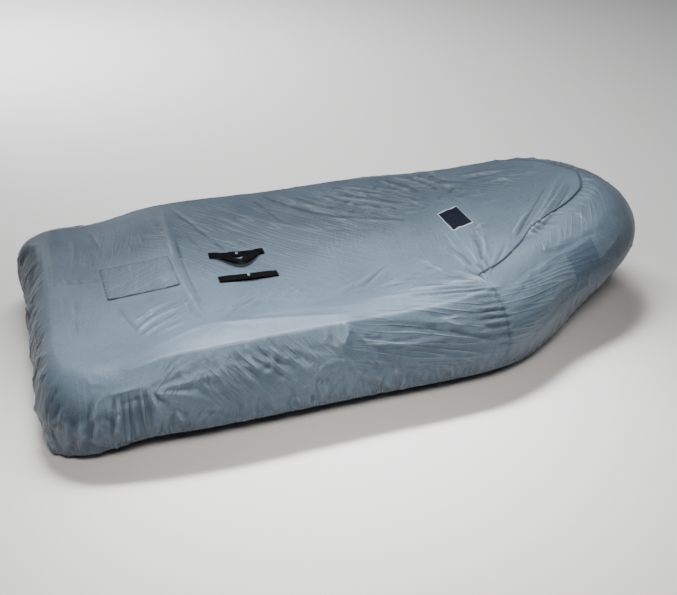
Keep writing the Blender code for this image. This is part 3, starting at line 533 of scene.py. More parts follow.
def scattered(corner):
    x0, y0, x1, y1, count, heading, spread, length, width, height = corner
    for _ in range(count):
        angle = math.radians(heading + dice.gauss(0, spread))
        size = length / 1000 * dice.uniform(*scatter["lengths"])
        x, y = dice.uniform(x0, x1), dice.uniform(y0, y1)
        bend = dice.uniform(-scatter["bend"], scatter["bend"]) * size
        dx, dy = math.cos(angle) * size / 2, math.sin(angle) * size / 2
        rise = height * dice.uniform(*scatter["heights"]) * dice.choice((1, 1, -1))
        wide = width * dice.uniform(*scatter["widths"])
        yield (rise, wide, wide, x - dx, y - dy, x - bend * math.sin(angle), y + bend * math.cos(angle),
               x + dx, y + dy)


hem = {
    "gatherEvery": 0.019, "spacings": (0.6, 1.4), "gatherRise": 0.085, "rises": (0.35, 1.3),
    "lean": 0.035, "heightMm": 4.6, "heights": (0.5, 1.3), "widthsMm": (7.5, 6.0),
    "from": 0.004, "upTo": 0.02, "bend": 0.4,
    # painted shade along the hem
    "shadowPaint": 0.0028, "shadowPaintReach": 0.045,
    "casing": 0.026, "columnsPer": 3, "pitchMm": 13, "rippleMm": 2.6, "tape": 0.06,
    "stitchInset": 0.003, "stitchLift": 0.0034,
}


# gathers that the elastic draws up from the hem
def hemGathers():
    station = -shift
    while station < loop - shift:
        low = float(np.interp(station, stations, girths[0]))
        rise = hem["gatherRise"] * dice.uniform(*hem["rises"])
        lean = dice.uniform(-hem["lean"], hem["lean"])
        height = hem["heightMm"] * dice.uniform(*hem["heights"]) * dice.choice((1, -1))
        top = low - hem["upTo"]
        yield (height, *hem["widthsMm"], station, low - hem["from"], station + lean * hem["bend"],
               top - rise * hem["bend"], station + lean, top - rise)
        station += hem["gatherEvery"] * dice.uniform(*hem["spacings"])


# the flat of the tube's top ends in a taut line, and the cloth runs straight from it back onto
# the round of the tube, with a little slack
shoulder = {"above": 0.090, "straight": 0.080, "slack": 0.004, "slackBelow": 0.110, "slackWidth": 0.06,
            "fullSlack": 0.008}
ridge = np.interp(stations, tautStations, tautGirths)
ridgeHeight = np.interp(stations, tautStations, tautHeights, left=0, right=0)


def raisedShoulder():
    offset = girths - ridge
    above = np.clip(1 + offset / shoulder["above"], 0, 1) ** 1.6
    below = np.clip(1 - offset / shoulder["straight"], 0, 1) ** 2
    slack = bell(offset - shoulder["slackBelow"], shoulder["slackWidth"])
    slack *= np.minimum(ridgeHeight / shoulder["fullSlack"], 1)
    return ridgeHeight * np.where(offset < 0, above, below) - shoulder["slack"] * slack


def smooth(field, times):
    for _ in range(times):
        field = (field * 2 + np.roll(field, 1, axis=1) + np.roll(field, -1, axis=1)) / 4
        padded = np.vstack([field[:1], field, field[-1:]])
        field = (padded[:-2] + 2 * field + padded[2:]) / 4
    return field


def foldCloth():
    creases = [(crease, onSide) for group in sideFolds.values() for crease in group]
    creases += [(crease, onDeck) for group in deckFolds.values() for crease in group]
    creases += [(crease, onSide) for corner in sideCrumples for crease in scattered(corner)]
    creases += [(crease, onDeck) for corner in deckCrumples for crease in scattered(corner)]
    creases += [(crease, onSide) for crease in hemGathers()]
    lift = raisedShoulder().reshape(-1)
    for crease, place in creases:
        press(lift, crease, place)
    return lift.reshape(girths.shape)


# painted shade on stretches of cloth that hang in shade, and a painted highlight along the taut line
# of the tube; stretches: middle, reach each way and strength
paintedShadeStretches = {
    "under the ledge": (0.195, .262, .048, .085, .0024),
    "stern wall": (-0.28, .21, .25, .17, .0030),
    "stern wall to port": (5.45, .21, .24, .17, .0030),
}
# the painted highlight along the taut line: width, strength, and ridge height at which it is full
paintedHighlightLine = {"width": 0.006, "strength": 0.0045, "full": 0.012}


# the way round from a station, the shorter way
def wayRound(across, station):
    return (across - station + loop / 2) % loop - loop / 2


# painted highlight on the crests of the folds and painted shade in their hollows, less painted shade on the
# shaded stretches, plus the painted highlight along the taut line
def paintHighlightAndShade(lift):
    crests = lift - smooth(lift, foldShape["smoothing"])
    for station, girth, reachX, reachY, strength in paintedShadeStretches.values():
        crests -= strength * bell(wayRound(stations, station), reachX, 6) * bell(girths - girth, reachY, 6)
    line = bell(girths - ridge, paintedHighlightLine["width"])
    return crests + paintedHighlightLine["strength"] * line * np.minimum(ridgeHeight / paintedHighlightLine["full"], 1)


lift = foldCloth()
crests = paintHighlightAndShade(lift)
folded = places + normals * lift[..., None] - origin
foldedNormals = normalsOf(folded)
print(f"folds: raised {lift.max() * 1000:.0f} mm, hollowed {-lift.min() * 1000:.0f} mm")

# creases too fine for the mesh, left to the bump of the cloth: where they lie, heading in degrees,
# length, spacing and height in mm, then stretches of middle, reach each way and strength
fineCreases = {
    "creaseSlant": ("side", 52, 270, 25, 4, (
        (.68, .215, .17, .075, 1), (.48, .27, .08, .06, .6), (2.1, .3, .4, .06, .4),
        (4.6, .2, .45, .12, .8), (3.8, .2, .3, .1, .8))),
    "creaseAlong": ("side", 14, 330, 25, 3.5, (
        (1.32, .175, .26, .08, 1), (1.1, .24, .16, .05, .8), (1.85, .2, .28, .1, .6),
        (3.3, .15, .4, .1, .8), (1.4, .3, .2, .05, .8))),
    "creaseDown": ("side", 92, 260, 22, 4.5, (
        (.2, .255, .06, .08, 1), (0, .29, .07, .1, 1), (-.3, .2, .26, .16, .8), (5.42, .2, .28, .16, .8),
        (5.15, .25, .1, .12, .8), (2.6, .2, .3, .1, .5))),
    "creaseRise": ("side", -42, 260, 26, 3.9, (
        (.33, .175, .09, .05, 1), (.42, .33, .08, .04, .8), (.84, .3, .06, .05, .7),
        (2.15, .03, .3, .06, .7), (4.2, .26, .4, .08, .7))),
    "creaseDeck": ("deck", -50, 330, 28, 3.8, (
        (1.1, .2, .45, .32, .7), (1.45, .36, .28, .18, 1), (.65, .25, .3, .28, .6), (.95, -.2, .4, .16, .4),
        (2, .2, .2, .15, .5))),
    "creaseFore": ("deck", 78, 290, 27, 3.3, (
        (1.62, -.25, .17, .17, 1), (.1, -.3, .12, .2, .35), (.2, .3, .16, .2, .4),
        (1.25, -.05, .25, .2, .3))),
    "creaseTube": ("deck", 26, 270, 25, 3.4, (
        (.34, -.42, .09, .11, 1), (.66, -.44, .14, .07, .8), (1.15, -.44, .2, .07, .8),
        (2.05, -.12, .2, .12, .6))),
}
# how near the crown they die out, and how far up from the hem those of the elastic reach
creaseFade = {"crown": 0.03, "hem": 0.055}


# the strength of a kind of fine crease at points of a panel, given in both charts
def creaseStrength(name, sides, plan):
    chart, _, _, _, _, stretches = fineCreases[name]
    across, down = (sides if chart == "side" else plan).T
    strength = np.zeros(len(across))
    if name == "creaseDown":
        strength += bell(np.interp(across, stations, girths[0]) - down, creaseFade["hem"])
    for x, y, reachX, reachY, most in stretches:
        apart = wayRound(across, x) if chart == "side" else across - x
        strength += most * bell(apart, reachX) * bell(down - y, reachY)
    outward = sides[:, 1] if chart == "side" else -sides[:, 1]
    return np.minimum(strength, 1.0) * np.clip(outward / creaseFade["crown"], 0, 1)


# materials: an sRGB hex value as linear colour
def toLinear(hexColour):
    channels = [int(hexColour[i:i + 2], 16) / 255 for i in (1, 3, 5)]
    return tuple(c / 12.92 if c <= 0.04045 else ((c + 0.055) / 1.055) ** 2.4 for c in channels) + (1.0,)


# the scale of a wave texture whose bands are this far apart
def bandScale(mm):
    return math.tau / 20 * 1000 / mm


# a node with its settings and links; a number stands for an unnamed socket
def addNode(tree, kind, settings=None, links=None):
    made = tree.nodes.new("ShaderNode" + kind)
    for name, value in (settings or {}).items():
        if isinstance(name, int) or name in made.inputs:
            made.inputs[name].default_value = value
        else:
            setattr(made, name, value)
    for name, source in (links or {}).items():
        tree.links.new(source, made.inputs[name])
    return made


def newMaterial(name, sockets):
    material = bpy.data.materials.new(name)
    material.use_nodes = True
    shader = material.node_tree.nodes["Principled BSDF"]
    for socket, value in sockets.items():
        shader.inputs[socket].default_value = toLinear(value) if isinstance(value, str) else value
    return material, material.node_tree, shader


clothFinish = {
    "colour": "#43525f",
    "worn": "#5a6b79",
    "blend": (0.36, 0.64),
    "sockets": {"Roughness": 0.45, "Specular IOR Level": 0.36, "Specular Tint": "#d6e6f4",
                "Sheen Weight": 0.10, "Sheen Roughness": 0.5, "IOR": 1.5},
    "clouds": {"Scale": 3.1, "Detail": 5.0, "Roughness": 0.6},          # uneven fading, 320 mm
    "slubs": {"Scale": 1000 / 6.0, "Detail": 2.0, "Roughness": 0.7},    # thick yarn, 6 mm
    "slubShare": 0.45,
    "weave": {"Scale": bandScale(15.08), "Distortion": 0.6},            # 0.5 mm, drawn coarser to show
    "weaveBump": {"Strength": 0.10, "Distance": 0.0004},
    "slack": {"Scale": 34.0, "Detail": 4.0, "Roughness": 0.55, "Distortion": 0.8},      # 30 mm
    "slackBump": {"Strength": 0.35, "Distance": 0.0035},
    "ridges": {"noise_type": "RIDGED_MULTIFRACTAL", "Scale": 1.0, "Detail": 0.0, "Distortion": 0.2,
               "Offset": 1.0, "Gain": 1.0},
    "sharpness": 5.5,      # of the fine creases
    # by what, where it starts and is full, its most, and its colour: painted highlight on crests and fine
    # creases, painted shade in hollows, shaded stretches, seams, hem, patch edges and faces turned down
    "tints": (
        ("raised", 0.0010, 0.0042, 0.36, "#8795a1"),
        ("creased", 0.0006, 0.0028, 0.30, "#8795a1"),
        ("raised", -0.0004, -0.0028, 0.65, "#2c3742"),
        ("upward", 0.50, -0.30, 0.85, "#2b3640"),
    ),
}


# polyester woven fine and coated on the inside: a dry face that lights up broadly along its folds
def coatedPolyester(name, colour, worn, printed=None):
    material, tree, shader = newMaterial(name, clothFinish["sockets"])
    place = addNode(tree, "TexCoord").outputs["Object"]
    uv = addNode(tree, "UVMap").outputs["UV"]
    cloud, grain, slack = (addNode(tree, "TexNoise", clothFinish[kind], {"Vector": place}).outputs["Fac"]
                           for kind in ("clouds", "slubs", "slack"))
    mottle = addNode(tree, "MixRGB", {"Fac": clothFinish["slubShare"]}, {"Color1": cloud, "Color2": grain})
    tone = addNode(tree, "ValToRGB", links={"Fac": mottle.outputs["Color"]})
    for stop, position, shade in zip(tone.color_ramp.elements, clothFinish["blend"], (colour, worn)):
        stop.position = position
        stop.color = toLinear(shade)
    warp, weft = (addNode(tree, "TexWave", {"bands_direction": axis, **clothFinish["weave"]},
                          {"Vector": uv}).outputs["Fac"] for axis in "XY")
    weave = addNode(tree, "Math", {"operation": "ADD"}, {0: warp, 1: weft})
    height = None
    for crease, (chart, heading, length, spacing, rise, _) in fineCreases.items():
        turned = addNode(tree, "Mapping", {"Rotation": (0.0, 0.0, math.radians(-heading))},
                         {"Vector": uv if chart == "side" else place})
        drawn = addNode(tree, "Mapping", {"Scale": (1000 / length, 1000 / spacing, 1000 / length)},
                        {"Vector": turned.outputs["Vector"]})
        ridges = addNode(tree, "TexNoise", clothFinish["ridges"], {"Vector": drawn.outputs["Vector"]})
        sharp = addNode(tree, "Math", {"operation": "POWER", 1: clothFinish["sharpness"]},
                        {0: ridges.outputs["Fac"]})
        share = addNode(tree, "Math", {"operation": "MULTIPLY", 1: rise / 1000},
                        {0: sharp.outputs["Value"]})
        strength = addNode(tree, "Attribute", {"attribute_name": crease})
        total = addNode(tree, "Math", {"operation": "MULTIPLY_ADD", 2: 0.0},
                        {0: share.outputs["Value"], 1: strength.outputs["Fac"]})
        if height:
            tree.links.new(height, total.inputs[2])
        height = total.outputs["Value"]
    fine = addNode(tree, "Bump", clothFinish["weaveBump"], {"Height": weave.outputs["Value"]})
    loose = addNode(tree, "Bump", clothFinish["slackBump"],
                    {"Height": slack, "Normal": fine.outputs["Normal"]})
    creased = addNode(tree, "Bump", {"Strength": 1.0, "Distance": 1.0},
                      {"Height": height, "Normal": loose.outputs["Normal"]})
    facing = addNode(tree, "NewGeometry").outputs["Normal"]
    # what drives the painted highlight and shade: crests and hollows, the fine creases, and how far a face
    # turns up
    sources = {
        "raised": addNode(tree, "Attribute", {"attribute_name": "raised"}).outputs["Fac"],
        "creased": height,
        "upward": addNode(tree, "SeparateXYZ", links={"Vector": facing}).outputs["Z"],
    }
    coats = []
    for source, start, stop, most, shade in clothFinish["tints"]:
        share = addNode(tree, "MapRange",
                        {"From Min": start, "From Max": stop, "To Min": 0.0, "To Max": most},
                        {"Value": sources[source]})
        coats.append((share.outputs["Result"], shade))
    if printed:
        axes = addNode(tree, "SeparateXYZ", links={"Vector": uv})
        inside = [addNode(tree, "Math",
                          {"operation": "COMPARE", 1: (low + high) / 2, 2: (high - low) / 2},
                          {0: axes.outputs[axis]}).outputs["Value"]
                  for axis, (low, high) in zip("XY", printed["box"])]
        both = addNode(tree, "Math", {"operation": "MULTIPLY"}, dict(enumerate(inside)))
        coats.append((both.outputs["Value"], printed["colour"]))
    colourNow = tone.outputs["Color"]
    for share, shade in coats:
        tint = addNode(tree, "MixRGB", {"Color2": toLinear(shade)}, {"Fac": share, "Color1": colourNow})
        colourNow = tint.outputs["Color"]
    tree.links.new(colourNow, shader.inputs["Base Color"])
    tree.links.new(creased.outputs["Normal"], shader.inputs["Normal"])
    return material


# the finish of a small piece: its relief is ribs or threads where it is woven, and small noise
# where it is spun or moulded, which keeps one even colour from looking flat
def reliefFinish(name, sockets, relief, bump, high=None):
    material, tree, shader = newMaterial(name, sockets)
    if "bands_direction" in relief:
        place = addNode(tree, "UVMap").outputs["UV"]
        pattern = addNode(tree, "TexWave", relief, {"Vector": place}).outputs["Fac"]
    else:
        place = addNode(tree, "TexCoord").outputs["Object"]
        pattern = addNode(tree, "TexNoise", relief, {"Vector": place}).outputs["Fac"]
    raised = addNode(tree, "Bump", bump, {"Height": pattern})
    tree.links.new(raised.outputs["Normal"], shader.inputs["Normal"])
    if high:
        tone = addNode(tree, "ValToRGB", links={"Fac": pattern})
        for stop, shade in zip(tone.color_ramp.elements, (sockets["Base Color"], high)):
            stop.color = toLinear(shade)
        tree.links.new(tone.outputs["Color"], shader.inputs["Base Color"])
    return material


clothColours = (clothFinish["colour"], clothFinish["worn"])
slateCloth = coatedPolyester("slate coated polyester", *clothColours)
patchCloth = coatedPolyester("slate patch polyester", "#3f4d5a", "#54646f")
# a bare printed square on the bow, a shade off the cloth
bowPrint = {"box": ((1.935, 2.095), (0.145, 0.268)), "colour": "#425160"}
printedCloth = coatedPolyester("slate printed polyester", *clothColours, bowPrint)

# polypropylene webbing, woven flat: black, with 2 mm ribs across, drawn coarser, that catch a dull
# light
blackWebbing = reliefFinish(
    "black polypropylene webbing",
    {"Base Color": "#030303", "Roughness": 0.85, "Specular IOR Level": 0.06},
    {"bands_direction": "X", "Scale": bandScale(13.82), "Distortion": 0.4},
    {"Strength": 0.5, "Distance": 0.0006}, "#0b0b0c")
# damask-woven labels: close 0.2 mm satin threads, drawn coarser, with a slight gloss
navyLabel, paleEdge = (
    reliefFinish(name, {"Base Color": colour, "Roughness": 0.70, "Specular IOR Level": 0.15},
                 {"bands_direction": "Y", "Scale": bandScale(10.05), "Distortion": 0.2},
                 {"Strength": 0.25, "Distance": 0.0003})
    for name, colour in (("navy damask label", "#060c1c"), ("pale woven label edge", "#aeb6bc")))
# spun thread, dull and fuzzy, and moulded nylon, a little smoother: grain of 2 and 3 mm
slateThread, hemThread, paleThread, paleNylon = (
    reliefFinish(name, {"Base Color": colour, "Roughness": roughness},
                 {"Scale": 1000 / grainMm, "Detail": 2.0}, {"Strength": 0.2, "Distance": 0.0003})
    for name, colour, roughness, grainMm in (
        ("slate polyester thread", "#4c5861", 0.6, 2), ("grey polyester thread", "#44515c", 0.6, 2),
        ("pale polyester thread", "#b9c0c4", 0.6, 2), ("pale moulded nylon", "#747a7d", 0.5, 3)))
print("materials:", len(bpy.data.materials))


# mesh making: a piece with its faces, material and UVs
def makeMesh(name, points, faces, material, uvs=None):
    mesh = bpy.data.meshes.new(name)
    mesh.from_pydata([tuple(point) for point in points], [], faces)
    if uvs is not None:
        layer = mesh.uv_layers.new(name="UVMap")
        corners = np.zeros(len(mesh.loops), np.int32)
        mesh.loops.foreach_get("vertex_index", corners)
        layer.data.foreach_set("uv", np.asarray(uvs, np.float32)[corners].ravel())
    mesh.shade_smooth()
    mesh.materials.append(material)
    piece = bpy.data.objects.new(name, mesh)
    bpy.context.scene.collection.objects.link(piece)
    return piece


def addField(piece, name, values):
    layer = piece.data.attributes.new(name, "FLOAT", "POINT")
    layer.data.foreach_set("value", np.asarray(values, np.float32))


# four-sided faces over a grid of point numbers
def quadsOver(cells):
    return np.stack([cells[:-1, :-1], cells[:-1, 1:], cells[1:, 1:], cells[1:, :-1]], axis=2)


# a grid of points as a mesh; a panel has its painted crest highlight and hollow shade, and its fine creases
def gridMesh(name, grid, material, uvs, closed=False, keep=None, raised=None):
    cells = np.arange(grid.shape[0] * grid.shape[1]).reshape(grid.shape[:2])
    quads = quadsOver(np.hstack([cells, cells[:, :1]]) if closed else cells)
    if keep is not None:
        quads = quads[keep[:quads.shape[0], :quads.shape[1]]]
    used, index = np.unique(quads.reshape(-1, 4), return_inverse=True)
    piece = makeMesh(name, grid.reshape(-1, 3)[used], index.reshape(-1, 4).tolist(), material,
                     uvs.reshape(-1, 2)[used])
    if raised is not None:
        addField(piece, "raised", raised.reshape(-1)[used])
        sides, plan = uvs.reshape(-1, 2)[used], grid.reshape(-1, 3)[used, :2] + origin[:2]
        for crease in fineCreases:
            addField(piece, crease, creaseStrength(crease, sides, plan))
    return piece


def attach(piece, nodes=()):
    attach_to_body(piece, "root")
    if nodes:
        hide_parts(*nodes)
    return piece


# the three panels
seams = {"lap": 0.0022, "under": -0.0034, "reach": 0.009, "tuckedColumns": 2, "tuckedRows": 2,
         # painted shadow along the seam line
         "noseOver": 0.0010, "noseUnder": -0.0016, "shadowPaint": 0.0045, "shadowPaintReach": 0.006,
         "search": 0.05, "farthest": 9.0, "batch": 4000}


def lineDistance(line):
    points = folded.reshape(-1, 3)
    distance = np.full(len(points), seams["farthest"])
    low, high = line.min(axis=0) - seams["search"], line.max(axis=0) + seams["search"]
    near = np.flatnonzero(((points >= low) & (points <= high)).all(axis=1))
    for part in np.array_split(near, len(near) // seams["batch"] + 1):
        gaps = ((points[part][:, None, :] - line[None]) ** 2).sum(axis=2)
        distance[part] = np.sqrt(gaps.min(axis=1))
    return distance.reshape(girths.shape)


# lifts the cloth along a seam, by the distance from it
def lapAlong(distance):
    return bell(distance, seams["reach"])[..., None] * foldedNormals


seamDistance = lineDistance(np.vstack([folded[:seamRow, first], folded[seamRow, first:last + 1],
                                       folded[seamRow - 1::-1, last]]))
lapField = lapAlong(seamDistance)
noseField = lapAlong(lineDistance(folded[:seamRow + 1, middle]))
# painted shadow along the bow seam and painted shade along the hem, taken off the crest field
crests -= seams["shadowPaint"] * bell(seamDistance, seams["shadowPaintReach"])
crests -= hem["shadowPaint"] * bell(girths[0] - girths, hem["shadowPaintReach"])
charts = np.stack([np.broadcast_to(stations, girths.shape), girths], axis=2)
mainGrid = folded + lapField * seams["lap"]


def makePanels():
    keep = np.ones(girths.shape, bool)
    keep[:seamRow, first:last] = False
    main = gridMesh("mainPanel", mainGrid, slateCloth, charts, closed=True, keep=keep, raised=crests)
    panels = [attach(main, ["main_panel"])]
    rows = slice(0, seamRow + seams["tuckedRows"] + 1)
    tucked = seams["tuckedColumns"]
    for name, node, cloth, start, stop, lap in (
            ("bowPanelStarboard", "bow_panel_starboard", printedCloth, first - tucked, middle, "noseOver"),
            ("bowPanelPort", "bow_panel_port", slateCloth, middle - tucked, last + tucked, "noseUnder")):
        grid = folded + lapField * seams["under"] + noseField * seams[lap]
        here = (rows, slice(start, stop + 1))
        panel = gridMesh(name, grid[here], cloth, charts[here], raised=crests[here])
        panels.append(attach(panel, [node]))
    return panels


panels = makePanels()
print("panels:", [len(panel.data.polygons) for panel in panels])


# elastic hem: the folded cloth's line a little way above it
def aboveHem(rise):
    return np.array([readAt(rise - girths[0, i], -girths[:, i], folded[:, i])
                     for i in range(len(stations))])


# the casing's section: share of its height, and how far out in mm
hemSection = ((1.0, 0.6), (0.93, 1.4), (0.75, 2.2), (0.5, 2.8), (0.25, 2.8), (0.08, 2.0), (-0.02, 0.4),
              (-0.03, -1.2), (0.05, -2.4), (0.3, -3.0), (0.7, -2.8), (1.0, -1.8))
ripples = {"wander": (0.55, 1.45), "stretches": 90, "strengths": (0.4, 1.2), "turn": 2.2,
           "middle": 0.7, "edge": 0.35}


def makeHem():
    count = len(stations) * hem["columnsPer"]
    wander = np.cumsum([dice.uniform(*ripples["wander"]) for _ in range(count)])
    phase = wander / wander[-1] * round(loop * 1000 / hem["pitchMm"]) * 2 * math.pi
    strengths = [dice.uniform(*ripples["strengths"]) for _ in range(ripples["stretches"])]
    strength = np.interp(np.linspace(0, 1, count), np.linspace(0, 1, ripples["stretches"]), strengths)
    share = np.arange(count) / hem["columnsPer"]

    def sample(table):
        i = share.astype(int) % len(stations)
        w = (share % 1)[:, None]
        return table[i] * (1 - w) + table[(i + 1) % len(stations)] * w

    low, high, normal = sample(folded[0]), sample(aboveHem(hem["casing"])), sample(foldedNormals[1])
    grid = []
    for t, out in hemSection[::-1]:
        ripple = np.sin(phase + ripples["turn"] * t) * strength * hem["rippleMm"] / 1000
        ripple *= math.sin(math.pi * min(max(t, 0.0), 1.0)) * ripples["middle"] + ripples["edge"]
        grid.append(low + (high - low) * t + normal * (out / 1000 + ripple)[:, None])
    u, v = np.meshgrid(np.linspace(0, loop, count, endpoint=False),
                       np.linspace(0, hem["tape"], len(hemSection)))
    band = gridMesh("elasticHem", np.array(grid), slateCloth, np.dstack([u, v]), closed=True)
    return attach(band)


elasticHem = makeHem()
print("hem:", len(elasticHem.data.polygons))

# height of the cloth, for what is sewn on it
clothTree = BVHTree.FromPolygons([v.co for v in panels[0].data.vertices],
                                 [p.vertices[:] for p in panels[0].data.polygons])


def clothHeights(points):
    return np.array([clothTree.ray_cast(Vector((x, y, 1.0)), Vector((0, 0, -1)))[0].z for x, y in points])


# stitching
stitch = {"length": 0.0034, "gap": 0.0016, "thick": 0.0009, "proud": 0.0005, "sunk": 0.0004,
          "onSeam": 0.0004, "onPatch": 0.0003, "onWebbing": 0.0005, "firstAt": 0.002, "flank": 0.55}


# a row of stitches along a line of points, each a small flat lozenge of thread
def stitchRow(points, ups):
    lengths = lengthsAlong(points)
    pitch = stitch["length"] + stitch["gap"]
    starts = np.arange(stitch["firstAt"], lengths[-1] - pitch, pitch)
    a, b = readAt(starts, lengths, points), readAt(starts + stitch["length"], lengths, points)
    up = unit(readAt(starts + stitch["length"] / 2, lengths, ups))
    side = np.cross(up, unit(b - a)) * stitch["thick"] / 2
    top = up * (stitch["proud"] + stitch["thick"] / 2)
    centre = (a + b) / 2
    flank = centre + top * stitch["flank"]
    corners = np.stack([a - up * stitch["sunk"], flank + side, b - up * stitch["sunk"], flank - side,
                        centre + top], axis=1)
    faces = []
    for n in range(0, 5 * len(starts), 5):
        faces += [(n + k, n + (k + 1) % 4, n + 4) for k in range(4)] + [(n + 3, n + 2, n + 1, n)]
    return corners.reshape(-1, 3), faces


def stitching(name, rows, material):
    allPoints, allFaces, count = [], [], 0
    for points, ups in rows:
        corners, faces = stitchRow(points, ups)
        allPoints.append(corners)
        allFaces += [tuple(index + count for index in face) for face in faces]
        count += len(corners)
    return attach(makeMesh(name, np.vstack(allPoints), allFaces, material))


def sewnFlat(points):
    return points, np.tile((0.0, 0.0, 1.0), (len(points), 1))


# stitches round a flat piece, some grid steps in from its edge
def edgeRing(top, inset):
    low, wide = top.shape[0] - 1 - inset, top.shape[1] - 1 - inset
    ring = [(inset, i) for i in range(inset, wide)] + [(j, wide) for j in range(inset, low)]
    ring += [(low, i) for i in range(wide, inset, -1)] + [(j, inset) for j in range(low, inset - 1, -1)]
    return sewnFlat(np.array([top[cell] for cell in ring]) + (0, 0, stitch["onPatch"]))


def gridRow(grid, cells):
    ups = np.array([foldedNormals[cell] for cell in cells])
    return np.array([grid[cell] for cell in cells]) + ups * stitch["onSeam"], ups


# along the bow seam and the nose, and two rows where the stern's halves are joined, up to the patch
sternSeam = {"rows": (((-0.052, .042), (0.157, .008)), ((-0.052, .022), (0.157, -.012))), "steps": 80,
             "hemRows": 6}


def seamStitches():
    side = range(sternSeam["hemRows"], seamRow)
    bowCells = [(j, first - 1) for j in side] + [(seamRow + 1, i) for i in range(first, last + 1)]
    bowCells += [(j, last + 1) for j in range(seamRow - 1, sternSeam["hemRows"], -1)]
    rows = [gridRow(mainGrid, bowCells),
            gridRow(folded + noseField * seams["noseOver"], [(j, middle - 1) for j in side])]
    for start, end in sternSeam["rows"]:
        plan = np.linspace(start, end, sternSeam["steps"]) - origin[:2]
        rows.append(sewnFlat(np.column_stack([plan, clothHeights(plan) + stitch["onSeam"]])))
    return rows


panelSeam = stitching("seamStitching", seamStitches(), slateThread)
hemLine = aboveHem(hem["casing"] - hem["stitchInset"]) + foldedNormals[2] * hem["stitchLift"]
hemSeam = stitching("hemStitching", [(hemLine, foldedNormals[2])], hemThread)


# the patch on the stern deck, and the label
def cornerPlace(corners, u, v):
    c0, c1, c2, c3 = (np.array(c) for c in corners)
    u, v = u[..., None], v[..., None]
    return (c1 * (1 - u) + c2 * u) * (1 - v) + (c0 * (1 - u) + c3 * u) * v


def edgeDistance(u, v):
    return np.minimum.reduce([u, 1 - u, v, 1 - v])


# a closed flat piece that lies on the cloth: its top, its turned edge and its underside
def layOn(name, settings, material, pucker=None):
    across, up = settings["steps"]
    u, v = np.meshgrid(np.linspace(0, 1, across + 1), np.linspace(0, 1, up + 1))
    plan = cornerPlace(settings["corners"], u, v) - origin[:2]
    height = clothHeights(plan.reshape(-1, 2)).reshape(u.shape) + settings["gap"]
    if pucker:
        height = height + pucker(u, v)
    turned = settings["thick"] * 0.5 * (edgeDistance(u, v) < 1e-6)
    top = np.dstack([plan, height + settings["thick"] - turned])
    cells = np.arange(u.size).reshape(u.shape)
    quads = quadsOver(cells).reshape(-1, 4)
    rim = np.concatenate([cells[0], cells[1:, -1], cells[-1, -2::-1], cells[-2:0:-1, 0]])
    after = np.roll(rim, -1)
    faces = np.vstack([quads, quads[:, ::-1] + u.size, np.stack([rim, rim + u.size, after + u.size, after],
                                                                axis=1)])
    points = np.vstack([top.reshape(-1, 3), np.dstack([plan, height]).reshape(-1, 3)])
    uvs = np.tile(plan.reshape(-1, 2), (2, 1))
    return makeMesh(name, points, faces.tolist(), material, uvs), (u, v, top)


patch = {
    "corners": ((0.155, 0.095), (0.165, -0.175), (0.438, -0.235), (0.430, 0.030)),
    "thick": 0.0012, "gap": 0.0008, "steps": (64, 64), "rings": (2, 4),
    "pucker": 0.00096, "puckers": (61, 57), "puckerReach": 0.05, "puckerBand": 0.08,
    "loose": 0.0018, "looseReach": (0.10, 0.06), "looseWaves": 23, "looseSide": 0.6,
    "creases": ("creaseFore", "creaseTube"), "creased": 0.55, "shadowPaint": 0.004, "shadowPaintReach": 0.018,
}


# the cloth draws up along its stitches and stands off a little at the two near edges
def patchPucker(u, v):
    wave = sum(np.sin(a * turns + 2 * np.sin(b * sway)) * (np.minimum(b, 1 - b) < patch["puckerBand"])
               for a, b, turns, sway in ((u, v, patch["puckers"][0], 9), (v, u, patch["puckers"][1], 8)))
    aft, side = (np.clip(1 - a / reach, 0, 1) for a, reach in zip((v, u), patch["looseReach"]))
    loose = aft * (0.5 + 0.5 * np.sin(u * patch["looseWaves"])) + side * patch["looseSide"]
    near = bell(edgeDistance(u, v), patch["puckerReach"])
    return patch["pucker"] * (1 + wave) * near + loose * patch["loose"]


def makePatch():
    piece, (u, v, top) = layOn("sternPatch", patch, patchCloth, patchPucker)
    attach(piece, ["deck_patch"])
    # painted shade along all the patch's edges, carried in its raised field
    shadowPaint = -patch["shadowPaint"] * bell(edgeDistance(u, v), patch["shadowPaintReach"])
    addField(piece, "raised", np.tile(shadowPaint.ravel(), 2))
    for crease in patch["creases"]:
        addField(piece, crease, np.full(2 * u.size, patch["creased"]))
    rows = [edgeRing(top, inset) for inset in patch["rings"]]
    return piece, stitching("patchStitching", rows, slateThread)


label = {
    "corners": ((1.742, 0.080), (1.637, 0.055), (1.629, -0.134), (1.734, -0.112)),
    "thick": 0.0010, "gap": 0.0008, "steps": (24, 40),
}


def makeLabel():
    piece, (u, v, top) = layOn("blankLabel", label, navyLabel)
    attach(piece, ["blank_label"])
    piece.data.materials.append(paleEdge)
    rows, columns = u.shape
    for face in piece.data.polygons:
        j, i = divmod(min(face.vertices) % u.size, columns)
        face.material_index = int(i in (0, columns - 2) or j in (0, rows - 2))
    return piece, stitching("labelStitching", [edgeRing(top, 1)], paleThread)


sternPatch, patchSeam = makePatch()
blankLabel, labelSeam = makeLabel()
print("patch and label:", [len(piece.data.polygons) for piece in (sternPatch, blankLabel)])

